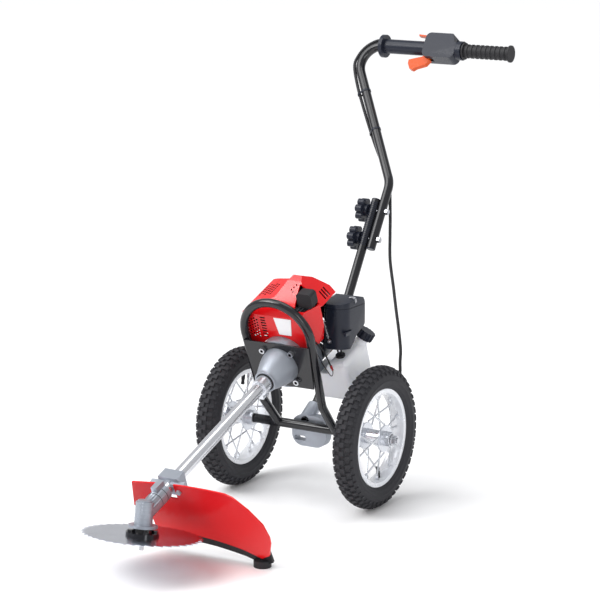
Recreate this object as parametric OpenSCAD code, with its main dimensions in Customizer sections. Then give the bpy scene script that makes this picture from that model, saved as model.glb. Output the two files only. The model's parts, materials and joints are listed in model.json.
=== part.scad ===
// Two-wheeled brush cutter: a two-stroke engine between spoked wheels drives a
// toothed cutting blade through a shaft and an angled gear head.
// Millimetres. +Z is up, the blade is towards -Y, and the origin lies on the
// ground midway between the wheels, straight under the axle.

/* [Wheels] */
// Outer diameter of each tyre over its tread blocks
tyre_d = 330; // [300:5:360]
// Width of each tyre
tyre_w = 54; // [48:1:60]
// Distance between the middle planes of the two wheels
track = 363; // [350:1:420]
// Diameter of each rim's edge
rim_d = 226; // [216:1:234]
// Width of each rim
rim_w = 36; // [30:1:40]
// Length of each hub
hub_l = 86; // [76:1:100]
// Number of wire spokes in each wheel
spoke_count = 20; // [12:2:28]
// Diameter of a spoke
spoke_d = 4; // [2:0.5:5]
// Number of tread blocks in one row of a tyre
tread_count = 30; // [20:1:36]

/* [Frame] */
// Diameter of the axle rod
axle_d = 12; // [10:1:14]
// Outer diameter of the axle tube
axle_tube_d = 22; // [20:1:26]
// Diameter of the hoop tube
hoop_d = 20; // [16:1:22]
// Radius of the hoop's top bend, at the middle of the tube
hoop_r = 86; // [82:1:96]
// Height of the hoop's bend centre above the shaft
hoop_rise = 70; // [60:1:90]
// Thickness of the engine plate
plate_t = 4; // [3:0.5:6]
// Spacing of the engine bolts
bolt_pitch = 74; // [72:1:78]

/* [Shaft] */
// Height of the shaft at the engine plate
engine_height = 330; // [320:1:345]
// Distance of the engine plate ahead of the axle
engine_forward = 121.5; // [115:0.5:130]
// Slope of the shaft, down towards the blade, in degrees
shaft_tilt = 20.5; // [18:0.5:22]
// Distance along the shaft from the engine plate to the gear head's centre
shaft_reach = 567; // [520:1:640]
// Outer diameter of the shaft tube
shaft_tube_d = 28; // [24:1:30]
// Diameter of the drive shaft
drive_d = 8; // [7:0.5:10]
// Diameter of the clutch housing where it meets the plate
clutch_d = 90; // [86:1:91]

/* [Blade and guard] */
// Diameter of the blade over its teeth
blade_d = 255; // [230:5:255]
// Number of teeth on the blade
blade_teeth = 40; // [24:2:60]
// Thickness of the blade
blade_t = 1.6; // [1.2:0.1:2.4]
// Lean of the blade's axis from upright, in degrees
spindle_lean = 9.5; // [8:0.5:11]
// Distance along the shaft from the engine plate to the guard
guard_reach = 476; // [460:1:500]
// Slope of the guard from upright, in degrees
guard_slope = 28.3; // [26:0.1:31]
// Wall of the guard
guard_t = 3.5; // [2.5:0.5:5]
// Length of the guard down its slope
guard_l = 158; // [150:1:162]
// Reach of the guard to the machine's left
guard_left = 240; // [220:1:250]

/* [Handle] */
// Diameter of the handle tubes
handle_d = 22; // [20:1:24]
// Lean of the handle back from upright, in degrees
handle_lean = 32; // [26:1:36]
// Length of the handle from its lower bend to the bar
handle_l = 914; // [880:2:1000]
// Radius of the bend below the bar
neck_r = 50; // [45:1:60]
// Length of the bar beyond its bend
bar_l = 342; // [330:1:380]
// Diameter of the rubber grip
grip_d = 34; // [30:1:38]

/* [Engine] */
// Width of the engine cover
cover_w = 192; // [186:1:200]
// Height of the engine cover
cover_h = 136; // [130:1:142]
// Length of the engine cover along the shaft
cover_l = 120; // [118:1:124]
// Width of the fuel tank
tank_w = 98; // [90:1:104]
// Length of the fuel tank along the shaft
tank_l = 115; // [105:1:118]
// Height of the fuel tank
tank_h = 103; // [95:1:108]

/* [Hidden] */
$fn = 48;

// Clearances: cuts run past a face, seats are loose fits, runs are bearing fits
overrun = 1;
seat_gap = 0.3;
run_gap = 0.05;
weld_gap = 0.1;
// Bends are a touch fuller than the straight tubes that run into them
bend_swell = 0.1;
bend_lap = 1;

// Wheel sizes
axle_z = tyre_d / 2;
tread_h = 5;
tread_sink = 4;
tread_len = 15;
tread_wide = 14;
shoulder_lean = 38;
carcass_d = tyre_w - 1;
carcass_r = tyre_d / 2 - tread_h - carcass_d / 2;
tyre_wall = 5;
bead_gap_w = 22;
rim_wall = 2.5;
rim_step = 8;
rim_well = 13;
rim_well_w = 16;
rim_r = rim_d / 2;
well_r = rim_r - rim_well;
valve_d = 9;
valve_l = 26;
hub_out = 44;
hub_d = 34;
hub_flange_d = 62;
hub_flange_t = 4;
hub_flange_x = 24;
bearing_d = 28;
bearing_w = 8;
hub_bore_d = 20;
spoke_seat = 0.8;
spoke_head = 1.9;
spoke_twist = 36;
nut_af = 19;
nut_h = 10;
washer_t = 2;
washer_d = 26;
axle_end = 4;
axle_half = track / 2 + hub_out + nut_h + washer_t + axle_end;
axle_tube_half = track / 2 + hub_out - hub_l - 2 * seat_gap;

// Frame sizes, in the engine's own directions
hoop_y = 22;
hoop_wall = 2;
hoop_taper = 2.3;
leg_corner = 175;
leg_bend_r = 60;
plate_y = hoop_y - hoop_d / 2 - seat_gap - plate_t;
plate_top_w = 172;
plate_bottom_w = 152;
plate_top = 56;
plate_bottom = 54;
plate_hole_gap = 0.5;
bolt_d = 8;
bolt_head_d = 14;
bolt_head_h = 8;
bolt_socket_d = 8;
bolt_socket_h = 5;
bolt_l = 40;
axle_back = engine_forward * cos(shaft_tilt) + (axle_z - engine_height) * sin(shaft_tilt);
axle_down = engine_forward * sin(shaft_tilt) - (axle_z - engine_height) * cos(shaft_tilt);
leg_y = axle_back - hoop_y;
leg_z = (axle_down + hoop_rise - hoop_r * sin(hoop_taper)) / cos(hoop_taper);
leg_bend = atan2(leg_y, leg_z - leg_corner);
leg_tangent = leg_bend_r * tan(leg_bend / 2);
leg_foot = sqrt(leg_y * leg_y + (leg_z - leg_corner) * (leg_z - leg_corner)) - leg_tangent;

// Handle sizes; the lower run starts at the axle's centre line
handle_wall = 2;
handle_rise = 31.5;
handle_run = 82;
handle_bend_r = 60;
handle_turn = 90 - handle_lean - handle_rise;
handle_tangent = handle_bend_r * tan(handle_turn / 2);
lap_gap = 0.4;
lower_x = -(handle_d + lap_gap) / 2;
upper_x = (handle_d + lap_gap) / 2;
socket_start = 14;
lap_bottom = 388;
lap_top = 510;
knob_low = 411;
knob_high = 483;
slant = 30.4;
slant_z = 557;
slant_bend_r = 60;
slant_tangent = slant_bend_r * tan(slant / 2);
neck_z = handle_l - neck_r;
slant_l = (neck_z - neck_r * sin(slant) - slant_z) / cos(slant);
neck_x = upper_x - slant_l * sin(slant) + neck_r * cos(slant);
knob_d = 58;
knob_h = 16;
knob_lobes = 7;
knob_lobe_d = 17;
knob_hub_d = 30;
knob_hub_h = 8;
clamp_bolt_d = 8;
clamp_nut_af = 13;
clamp_nut_h = 7;
socket_w = 92;
socket_h = 74;
socket_r = 28;
socket_t = 24;
socket_drop = 52;
socket_sleeve_d = 34;
socket_sleeve_l = 50;
socket_slot_l = 30;
socket_slot_d = 11;
socket_slot_x = -24;
socket_slot_z = 18;

// Clutch and shaft sizes; front distances are measured ahead of the plate's datum
mouth_d = 44;
cone_front = 62;
cone_wall = 4;
cone_mouth_l = 6;
cone_swell_share = 1.35;
cone_steps = 8;
flange_d = 122;
flange_t = 5;
plate_front = -plate_y;
flange_front = plate_front - plate_t;
flange_back = flange_front - flange_t;
ring_l = 7;
ring_front = cone_front + 1.5;
collar_d = 38;
collar_l = 25;
collar_lug_w = 12;
collar_lug_h = 10;
tube_wall = 2;
tube_start = 44;
tube_insert = 20;
bearing_seat_front = 20;
clutch_bearing_d = 32;
clutch_bearing_w = 9;
bearing_front = bearing_seat_front + clutch_bearing_w;
drum_d = 76;
drum_wall = 4;
drum_l = 26;
drum_back = -12;
drum_hub_d = 17;
drum_hub_l = 20;
shoe_d = 64;
shoe_l = 18;
shoe_arc = 150;
shoe_boss_d = 36;
shoe_back = -10;
flywheel_d = 88;
flywheel_t = 22;
flywheel_back = -47;
vane_count = 12;
vane_h = 5;
vane_t = 3;
fan_case_d = 122;
fan_bore_d = 95;
fan_case_l = 33;
case_w = 100;
case_h = 108;
case_l = 55;
case_round = 18;
case_drop = 4;
case_front = flange_back - fan_case_l;
crank_d = 20;
crank_web_d = 58;
crank_web_l = 26;
crank_web_back = case_front - 40;
crank_bore_d = 64;
crank_bore_l = 32;
crank_rear = 20;

// Gear head sizes; heights are along the blade's axis from the head's centre
head_d = 38;
head_top = 24;
head_bottom = -25;
head_cap_d = 30;
head_cap_h = 3;
head_flange_d = 62;
head_flange_t = 5;
neck_d = 38;
neck_start = 18;
neck_l = 60;
neck_lug_w = 14;
neck_lug_h = 12;
head_wall = 4;
head_cavity_gap = 1.5;
spindle_d = 10;
spindle_tail = -78;
thread_relief = 1;
shaft_angle = 90 + shaft_tilt + spindle_lean;
gear_teeth = 19;
pinion_teeth = 14;
gear_half = atan2(sin(shaft_angle), pinion_teeth / gear_teeth + cos(shaft_angle));
pinion_half = shaft_angle - gear_half;
cone_out = 14.5;
cone_in = 9;
gear_rim_t = 3;
gear_hub_d = 16;
gear_hub_back = 13;
pinion_hub_d = 15;
pinion_back = 19;
mesh_gap = 0.5;
tooth_cut = 1.1;
holder_d = 70;
holder_t = 6;
holder_hub_d = 40;
holder_hub_h = 9;
holder_top = head_bottom - head_flange_t - 1;
blade_top = holder_top - holder_hub_h - holder_t;
blade_bore_d = 25.4;
pilot_h = 1.2;
gullet = 9;
tooth_shares = [[0, 0], [1, 0.12], [1, 0.32], [0.3, 0.72]];
cup_d = 58;
cup_h = 9;
cup_taper_share = 0.62;
blade_nut_af = 17;
blade_nut_h = 9;
bolt_ring_d = 52;
bolt_ring_count = 4;

// Guard sizes, in the guard's own sloping plane; shares follow its width and length
guard_bend_r = 1000;
guard_axis_share = 0.3;
notch_half = 19.3;
notch_floor = 26;
guard_outline_shares = [
  [-0.333, 0.077], [-0.365, -0.136], [-0.398, -0.358], [-0.262, -0.43], [-0.262, -0.881],
  [0.06, -0.824], [0.298, -0.858], [0.606, -0.923], [0.797, -1], [0.905, -0.889],
  [0.975, -0.63], [0.985, -0.51], [0.955, -0.3], [0.838, -0.097], [0.697, 0.063], [0.62, 0.094]
];
skirt_t = 6;
skirt_from_share = -0.8;
skirt_lap = 14;
skirt_drop = 24;
foot_d = 38;
foot_h = 15;
foot_x = 186;
foot_y = 488;
clamp_l = 30;
clamp_w = 48;
clamp_h = 42;
clamp_pad_w = 80;
clamp_pad_h = 30;
clamp_pad_t = 4;
guard_bolt_d = 6;
guard_bolt_head_d = 12;
guard_bolt_head_h = 5;
guard_bolt_x = 30;
guard_bolt_y = -4;
guard_bolt_l = 14;
guard_bolt_gap = 0.9;

// Engine sizes, in the engine's own directions
cover_front = 33;
cover_base = 45;
cover_wall = 3;
cover_split_x = -50;
cover_seam = 0.4;
cover_front_shares = [
  [-0.52, 0], [-0.52, 0.5], [-0.36, 0.75], [-0.17, 0.86], [0.02, 0.99], [0.21, 1],
  [0.33, 0.88], [0.48, 0.68], [0.48, 0.28], [0.4, 0]
];
cover_side_shares = [[0, 0], [0, 0.5], [0.18, 0.7], [0.53, 0.99], [0.86, 0.99], [1, 0.85], [1, 0]];
cover_plan_shares = [[-0.52, 0.38], [-0.37, 0], [0.33, 0], [0.48, 0.5], [0.48, 1], [-0.52, 1]];
louvre_count = 7;
louvre_l = 16;
louvre_h = 3.2;
louvre_pitch = 7.5;
louvre_x = -56;
louvre_z = 58;
grille_d = 5;
grille_pitch = 9;
grille_rows = 4;
grille_cols = 6;
grille_deep = 20;
grille_x = -78;
grille_y = 104;
grille_z = 134;
grille_lean = -40;
slot_count = 3;
slot_l = 14;
slot_d = 4;
slot_pitch = 9;
slot_x = 78;
slot_y = 112;
label_w = 46;
label_h = 42;
label_t = 1.2;
label_z = 66;
label_foot_share = 0.36;
fin_count = 7;
fin_w = 84;
fin_l = 60;
fin_t = 2.4;
fin_pitch = 9;
fin_round = 10;
fin_start = 8;
cylinder_d = 50;
cylinder_bore_d = 40;
cylinder_y = 80;
cylinder_h = 70;
cylinder_roof = 8;
plug_cap_w = 38;
plug_cap_l = 26;
plug_cap_h = 36;
plug_cap_round = 8;
plug_cap_x = 64;
plug_cap_y = 72;
plug_cap_z = 146;
plug_gap = 2;
plug_d = 12;
plug_l = 22;
plug_lean = 50;
muffler_w = 36;
muffler_l = 60;
muffler_h = 58;
muffler_round = 10;
muffler_x = -72;
muffler_y = 102;
muffler_z = 84;
pipe_d = 16;
carb_l = 30;
carb_h = 36;
carb_y = 100;
carb_z = 82;
box_in = 62.5;
box_out = 122;
box_round = 18;
carb_w = box_in - fin_w / 2 - 2 * seat_gap;
carb_x = (box_in + fin_w / 2) / 2;
box_gap = 6;
box_l = 84;
box_h = 100;
box_y = 92;
box_z = 12;
box_side_shares = [[0, 0], [0, 0.95], [0.78, 1.06], [1, 1], [1, 0.45]];
box_lid_z_share = 0.86;
lid_groove = 1.5;
lid_groove_h = 2;
stay_x = 68;
stay_w = 12;
stay_l = 14;
stay_drop = 26;
stay_y_share = 0.66;
stay_rise = 12;
ferrule_d = 7;
ferrule_l = 30;
tank_x = 20;
tank_y = 85;
tank_top = -32;
tank_step_x = 68;
tank_step = 30;
tank_round = 16;
tank_wall = 2.5;
tank_neck_d = 28;
tank_neck_l = 34;
tank_neck_tilt = 42;
tank_neck_az = 43;
tank_neck_x = 100;
tank_neck_y = 186;
tank_neck_z = -40;
grommet_d = 22;
grommet_h = 5;
grommet_x = 90;
grommet_y = 118;
case_foot_x = 24;
case_foot_w = 24;
case_foot_l = 16;
case_foot_y = 104;
cap_d = 38;
cap_h = 20;
cap_top_t = 4;
cap_ribs = 14;
cap_rib_d = 4;
starter_d = 124;
starter_l = 40;
starter_wall = 4;
starter_vents = 10;
starter_vent_l = 22;
starter_vent_w = 6;
starter_vent_r = 26;
pull_z = 24;
pull_boss_d = 24;
pull_boss_x = 72;
pull_w = 46;
pull_d = 20;
pull_neck_d = 12;
pull_neck_l = 10;
rope_d = 4;
rope_l = 20;
choke_l = 32;
choke_w = 9;
choke_t = 3;
choke_y_share = 0.35;
choke_z_share = 0.3;
wire_d = 4;
wire_sides = 8;
wire_route = [[74, 56, 42], [84, 52, 36], [90, 57, 18], [90, 68, -16], [90, 76, -42]];
return_route = [[90, 76, -42.8], [92, 68, -52], [92, 54, -32], [86, 46, 0], [72, 54, 20], [51.2, 64, 22]];

// Throttle sizes, along the bar from its bend and across it
sleeve_start = -4;
sleeve_d = 35;
sleeve_l = 118;
sleeve_gap = 0.5;
stop_ring_d = 56;
stop_ring_l = 9;
pod_start = 117;
pod_l = 86;
pod_h = 64;
pod_w = 40;
pod_round = 14;
pod_rise = 3;
band_d = 46;
band_l = 14;
grip_start = pod_start + pod_l + band_l + overrun;
grip_ribs = 9;
grip_rib_l = 6;
grip_rib_h = 2;
grip_flange_d = 41;
grip_flange_l = 5;
grip_cap_l = 3;
trigger_pivot_x = 124;
trigger_pivot_z = -20;
trigger_w = 13;
trigger_l = 44;
trigger_drop = 40;
trigger_pin_d = 6;
trigger_shares = [
  [-1, -0.36], [-0.98, -0.62], [-0.8, -0.95], [-0.62, -1], [-0.44, -0.84], [0.1, -0.62],
  [0.28, -0.3], [0.16, 0.1], [-0.1, 0.1], [-0.2, -0.1]
];
trigger_slot_l = 32;
trigger_slot_in = 12;
trigger_slot_top = -12.5;
trigger_slot_gap = 1;
lock_pivot_x = 125;
lock_pivot_z = 25;
lock_l = 36;
lock_h = 10;
lock_shares = [[0.14, -0.4], [0.14, 0.5], [-0.3, 0.8], [-1, 1], [-1, 0.6], [-0.34, 0.3], [-0.1, -0.4]];
lock_w = 11;
lock_pin_d = 5;
lock_slot_l = 9;
lock_slot_floor = 19;
switch_x = 160;
switch_l = 20;
switch_w = 12;
switch_h = 7;
switch_stem_l = 8;
switch_stem_w = 6;
switch_stem_h = 6;
switch_travel = 6;
switch_slot_l = switch_stem_l + switch_travel + 2 * seat_gap;
cable_d = 8;
cable_sides = 8;
cable_steps = 3;
cable_side_gap = 2.2;

// Points given in the engine's or the handle's directions, turned to the machine's
function engine_point(p) = [
  p[0],
  -engine_forward + p[1] * cos(shaft_tilt) - p[2] * sin(shaft_tilt),
  engine_height + p[1] * sin(shaft_tilt) + p[2] * cos(shaft_tilt)
];
function handle_point(p) = [
  p[0],
  handle_run * cos(handle_rise) + p[1] * cos(handle_lean) + p[2] * sin(handle_lean),
  axle_z + handle_run * sin(handle_rise) - p[1] * sin(handle_lean) + p[2] * cos(handle_lean)
];

// Cable route: round the outside of the handle's bend, down the slanting tube,
// then hanging free in a loop up to the engine
cable_off = (handle_d + cable_d) / 2 + cable_side_gap;
cable_neck_r = neck_r + cable_off;
neck_angles = [96, 116, 140, 164, 188];
slant_down = [30, 90, 160, 220, 265, 290];
slant_side_shares = [1, 1, 0.95, 0.8, 0.5, 0.1];
slant_back_shares = [0, 0.1, 0.45, 0.75, 1, 1.15];
free_route = [
  [26, 342, 612], [36, 324, 566], [50, 300, 509], [74, 274, 450], [95, 250, 402], [114, 230, 356],
  [127, 215, 317], [130, 204, 280], [124, 194, 246], [108, 182, 228], [90, 166, 234],
  [78, 150, 266], [71, 136, 310], [68, 120, 352]
];
stay_y = box_y + box_l * stay_y_share;
stay_z = box_z - stay_drop + stay_w;
cable_route = concat(
  [for (a = neck_angles) handle_point([neck_x + cable_neck_r * cos(a), 0, neck_z + cable_neck_r * sin(a)])],
  [for (i = [0 : len(slant_down) - 1])
    handle_point([
      upper_x - (slant_l - slant_down[i]) * sin(slant) - cable_off * slant_side_shares[i] * cos(slant),
      cable_off * slant_back_shares[i],
      slant_z + (slant_l - slant_down[i]) * cos(slant) - cable_off * slant_side_shares[i] * sin(slant)
    ])],
  free_route,
  [for (l = [3, 2, 1]) engine_point([stay_x, stay_y + stay_l + l * ferrule_l / 2, stay_z])]
);

// Shared helpers

module rounded_rect(w, h, r) {
  square([w - 2 * r, h], center = true);
  square([w, h - 2 * r], center = true);
  for (sx = [-1, 1], sy = [-1, 1])
    translate([sx * (w / 2 - r), sy * (h / 2 - r)])
      circle(r);
}

module ring_section(d, wall) {
  difference() {
    circle(d = d);
    circle(d = d - 2 * wall);
  }
}

module pipe(d, wall, l) {
  linear_extrude(l)
    ring_section(d, wall);
}

module ring(od, id, h) {
  difference() {
    cylinder(d = od, h = h);
    translate([0, 0, -overrun])
      cylinder(d = id, h = h + 2 * overrun);
  }
}

module bend_section(d, wall) {
  ring_section(d + 2 * bend_swell, wall + 2 * bend_swell);
}

module elbow(r, angle, d, wall) {
  translate([r, 0, 0])
    mirror([1, 0, 0])
      rotate([90, 0, 0])
        rotate_extrude(angle = angle)
          translate([r, 0])
            bend_section(d, wall);
}

module past_elbow(r, angle) {
  translate([r * (1 - cos(angle)), 0, r * sin(angle)])
    rotate([0, angle, 0])
      children();
}

module hex_nut(af, hole, h) {
  difference() {
    cylinder(d = af / cos(30), h = h, $fn = 6);
    translate([0, 0, -overrun])
      cylinder(d = hole, h = h + 2 * overrun);
  }
}

module socket_bolt(d, l, head_d, head_h, socket_d, socket_h) {
  translate([0, 0, -l])
    cylinder(d = d, h = l + overrun);
  difference() {
    cylinder(d = head_d, h = head_h);
    translate([0, 0, head_h - socket_h])
      cylinder(d = socket_d, h = socket_h + overrun, $fn = 6);
  }
}

// Frames of the machine's parts

module at_wheel(side) {
  translate([side * track / 2, 0, axle_z])
    rotate([0, side * 90, 0])
      children();
}

module along_axle() {
  translate([0, 0, axle_z])
    rotate([0, 90, 0])
      children();
}

module in_engine() {
  translate([0, -engine_forward, engine_height])
    rotate([shaft_tilt, 0, 0])
      children();
}

module along_shaft() {
  in_engine()
    rotate([90, 0, 0])
      children();
}

module in_head() {
  in_engine()
    translate([0, -shaft_reach, 0])
      rotate([-shaft_tilt - spindle_lean, 0, 0])
        children();
}

module in_guard() {
  in_engine()
    translate([0, -guard_reach, 0])
      rotate([90 + guard_slope - shaft_tilt, 0, 0])
        children();
}

module in_handle() {
  translate([0, handle_run * cos(handle_rise), axle_z + handle_run * sin(handle_rise)])
    rotate([-handle_lean, 0, 0])
      children();
}

module along_bar() {
  in_handle()
    translate([neck_x, 0, handle_l])
      children();
}

// Wheels

module tyre_solid() {
  difference() {
    union() {
      rotate_extrude()
        translate([carcass_r, 0])
          circle(d = carcass_d);
      for (k = [0 : tread_count - 1])
        rotate([0, 0, k * 360 / tread_count])
          tread_blocks();
    }
    rotate_extrude()
      translate([carcass_r, 0])
        circle(d = carcass_d - 2 * tyre_wall);
    translate([0, 0, -bead_gap_w / 2])
      cylinder(r = carcass_r, h = bead_gap_w);
    translate([0, 0, -tyre_w])
      cylinder(r = rim_r + seat_gap, h = 2 * tyre_w);
  }
}

module tread_blocks() {
  block_h = tread_h + tread_sink;
  translate([tyre_d / 2 - block_h, -tread_len / 4, -tread_wide / 2])
    cube([block_h, tread_len / 2 + tread_len / 4, tread_wide]);
  for (s = [-1, 1])
    rotate([0, 0, 180 / tread_count])
      translate([carcass_r, 0, 0])
        rotate([0, -s * shoulder_lean, 0])
          translate([carcass_d / 2 - tread_sink, -tread_len / 2, -tread_wide / 2])
            cube([block_h - overrun, tread_len * 2 / 3, tread_wide]);
}

module valve_stem() {
  translate([well_r - valve_l, 0, 0])
    rotate([0, 90, 0])
      cylinder(d = valve_d, h = valve_l - seat_gap);
}

module tyre(side) {
  color("#3c3c42") at_wheel(side) {
    tyre_solid();
    rotate([0, 0, 180 / spoke_count])
      valve_stem();
  }
}

module rim(side) {
  half = rim_w / 2;
  lip = rim_r - rim_step;
  well_half = rim_well_w / 2;
  color("#d8dae0") at_wheel(side)
    rotate_extrude()
      polygon([
        [rim_r, -half], [rim_r, -half + rim_wall], [lip, -half + rim_wall],
        [well_r + rim_wall, -well_half], [well_r + rim_wall, well_half],
        [lip, half - rim_wall], [rim_r, half - rim_wall], [rim_r, half],
        [lip - rim_wall, half], [well_r, well_half], [well_r, -well_half],
        [lip - rim_wall, -half]
      ]);
}

module hub(side) {
  color("#c8cad0") at_wheel(side)
    difference() {
      union() {
        translate([0, 0, hub_out - hub_l])
          cylinder(d = hub_d, h = hub_l);
        for (s = [-1, 1])
          translate([0, 0, s * hub_flange_x - hub_flange_t / 2])
            cylinder(d = hub_flange_d, h = hub_flange_t);
      }
      translate([0, 0, hub_out - hub_l - overrun])
        cylinder(d = hub_bore_d, h = hub_l + 2 * overrun);
      translate([0, 0, hub_out - bearing_w - seat_gap])
        cylinder(d = bearing_d + 2 * run_gap, h = bearing_w + seat_gap + overrun);
      translate([0, 0, hub_out - hub_l - overrun])
        cylinder(d = bearing_d + 2 * run_gap, h = bearing_w + seat_gap + overrun);
    }
}

module spoke(k) {
  flange_side = k % 2 == 0 ? 1 : -1;
  twist_side = k % 4 < 2 ? 1 : -1;
  a0 = k * 360 / spoke_count - twist_side * spoke_twist;
  a1 = k * 360 / spoke_count;
  r0 = hub_flange_d / 2 + spoke_head;
  r1 = well_r - spoke_seat;
  p0 = [r0 * cos(a0), r0 * sin(a0), flange_side * hub_flange_x];
  p1 = [r1 * cos(a1), r1 * sin(a1), flange_side * rim_well_w / 4];
  v = p1 - p0;
  translate(p0)
    rotate([0, acos(v[2] / norm(v)), atan2(v[1], v[0])])
      cylinder(d = spoke_d, h = norm(v));
}

module spokes(side) {
  color("#b4b6bc") at_wheel(side)
    for (k = [0 : spoke_count - 1])
      spoke(k);
}

module axle_rod() {
  color("#9a9ca2") along_axle()
    translate([0, 0, -axle_half])
      cylinder(d = axle_d, h = 2 * axle_half);
}

module axle_nuts() {
  color("#5a5c62") for (s = [-1, 1])
    at_wheel(s)
      translate([0, 0, hub_out + 2 * seat_gap]) {
        ring(washer_d, axle_d + 2 * weld_gap, washer_t);
        translate([0, 0, washer_t])
          hex_nut(nut_af, axle_d + 2 * weld_gap, nut_h);
      }
}

module axle_tube() {
  color("#1c1d22") along_axle()
    translate([0, 0, -axle_tube_half])
      ring(axle_tube_d, axle_d + 2 * weld_gap, 2 * axle_tube_half);
}

module ball_bearings() {
  color("#a8aab0") {
    for (s = [-1, 1], z = [hub_out - bearing_w, hub_out - hub_l])
      at_wheel(s)
        translate([0, 0, z])
          ring(bearing_d, axle_d + 2 * weld_gap, bearing_w);
    along_shaft()
      translate([0, 0, bearing_seat_front])
        ring(clutch_bearing_d, drum_hub_d + 2 * run_gap, clutch_bearing_w);
  }
}

// Frame

module hoop_leg() {
  translate([hoop_r, 0, 0])
    rotate([180, 0, 90]) {
      translate([0, 0, -bend_lap])
        pipe(hoop_d, hoop_wall, leg_corner - leg_tangent + 2 * bend_lap);
      translate([0, 0, leg_corner - leg_tangent]) {
        elbow(leg_bend_r, leg_bend, hoop_d, hoop_wall);
        past_elbow(leg_bend_r, leg_bend)
          translate([0, 0, -bend_lap])
            pipe(hoop_d, hoop_wall, leg_foot + bend_lap);
      }
    }
}

module frame_hoop() {
  color("#16171b") difference() {
    in_engine()
      translate([0, hoop_y, hoop_rise]) {
        rotate([90, 0, 0])
          rotate([0, 0, -hoop_taper])
            rotate_extrude(angle = 180 + 2 * hoop_taper)
              translate([hoop_r, 0])
                bend_section(hoop_d, hoop_wall);
        for (m = [0, 1])
          mirror([m, 0, 0])
            rotate([0, hoop_taper, 0])
              hoop_leg();
      }
    along_axle()
      translate([0, 0, -axle_tube_half])
        cylinder(d = axle_tube_d + 2 * weld_gap, h = 2 * axle_tube_half);
  }
}

module engine_plate() {
  color("#24262c") in_engine()
    translate([0, plate_y + plate_t, 0])
      rotate([90, 0, 0])
        linear_extrude(plate_t)
          difference() {
            polygon([
              [-plate_bottom_w / 2, -plate_bottom], [plate_bottom_w / 2, -plate_bottom],
              [plate_top_w / 2, plate_top], [-plate_top_w / 2, plate_top]
            ]);
            circle(d = clutch_d + 2 * plate_hole_gap);
            for (sx = [-1, 1], sz = [-1, 1])
              translate([sx * bolt_pitch / 2, sz * bolt_pitch / 2])
                circle(d = bolt_d + 2 * seat_gap);
          }
}

module plate_bolts() {
  color("#b8babf") along_shaft()
    for (sx = [-1, 1], sz = [-1, 1])
      translate([sx * bolt_pitch / 2, sz * bolt_pitch / 2, plate_front])
        socket_bolt(bolt_d, bolt_l, bolt_head_d, bolt_head_h, bolt_socket_d, bolt_socket_h);
}

module lower_run(d, from, to) {
  translate([lower_x, 0, axle_z])
    rotate([handle_rise - 90, 0, 0])
      translate([0, 0, from])
        cylinder(d = d, h = to - from);
}

module handle_socket() {
  color("#9b9ca3") difference() {
    union() {
      translate([0, axle_tube_d / 2 + weld_gap + socket_t, axle_z + socket_h / 2 - socket_drop])
        rotate([90, 0, 0])
          linear_extrude(socket_t)
            rounded_rect(socket_w, socket_h, socket_r);
      lower_run(socket_sleeve_d, socket_start, socket_start + socket_sleeve_l);
    }
    lower_run(handle_d + 2 * run_gap, socket_start, handle_run);
    translate([-socket_w, -axle_tube_d, axle_z - socket_h])
      cube([2 * socket_w, axle_tube_d + axle_tube_d / 2 + weld_gap, 2 * socket_h]);
    translate([socket_slot_x, 0, axle_z + socket_slot_z - socket_drop])
      rotate([-90, 0, 0])
        linear_extrude(2 * socket_t)
          rounded_rect(socket_slot_l, socket_slot_d, socket_slot_d / 2 - weld_gap);
  }
}

// Handle

module lower_handle() {
  run = handle_run - handle_tangent - socket_start;
  color("#1a1b20") translate([lower_x, 0, axle_z])
    rotate([0, 0, 90])
      rotate([0, 90 - handle_rise, 0])
        translate([0, 0, socket_start]) {
          pipe(handle_d, handle_wall, run + bend_lap);
          translate([0, 0, run])
            mirror([1, 0, 0]) {
              elbow(handle_bend_r, handle_turn, handle_d, handle_wall);
              past_elbow(handle_bend_r, handle_turn)
                lower_upright();
            }
        }
}

module lower_upright() {
  l = lap_top - handle_tangent;
  difference() {
    translate([0, 0, -bend_lap])
      pipe(handle_d, handle_wall, l + bend_lap);
    for (z = [knob_low, knob_high])
      translate([0, handle_d, z - handle_tangent])
        rotate([90, 0, 0])
          cylinder(d = clamp_bolt_d + 2 * seat_gap, h = 2 * handle_d);
  }
}

module upper_handle() {
  color("#1a1b20") in_handle()
    translate([upper_x, 0, 0]) {
      difference() {
        translate([0, 0, lap_bottom])
          pipe(handle_d, handle_wall, slant_z - slant_tangent - lap_bottom + bend_lap);
        for (z = [knob_low, knob_high])
          translate([-handle_d, 0, z])
            rotate([0, 90, 0])
              cylinder(d = clamp_bolt_d + 2 * seat_gap, h = 2 * handle_d);
      }
      translate([0, 0, slant_z - slant_tangent])
        mirror([1, 0, 0]) {
          elbow(slant_bend_r, slant, handle_d, handle_wall);
          past_elbow(slant_bend_r, slant)
            mirror([1, 0, 0])
              upper_slant();
        }
    }
}

module upper_slant() {
  l = slant_l - slant_tangent;
  translate([0, 0, -bend_lap])
    pipe(handle_d, handle_wall, l + 2 * bend_lap);
  translate([0, 0, l]) {
    elbow(neck_r, 90 + slant, handle_d, handle_wall);
    past_elbow(neck_r, 90 + slant)
      translate([0, 0, -bend_lap])
        pipe(handle_d, handle_wall, bar_l + bend_lap);
  }
}

module handle_bolts() {
  reach = handle_d * 2 + lap_gap + clamp_nut_h + knob_hub_h;
  color("#a4a6ac") in_handle()
    for (z = [knob_low, knob_high])
      translate([handle_d + lap_gap / 2 + seat_gap, 0, z])
        rotate([0, 90, 0]) {
          hex_nut(clamp_nut_af, clamp_bolt_d + 2 * weld_gap, clamp_nut_h);
          translate([0, 0, clamp_nut_h - reach])
            cylinder(d = clamp_bolt_d, h = reach + overrun);
        }
}

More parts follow.
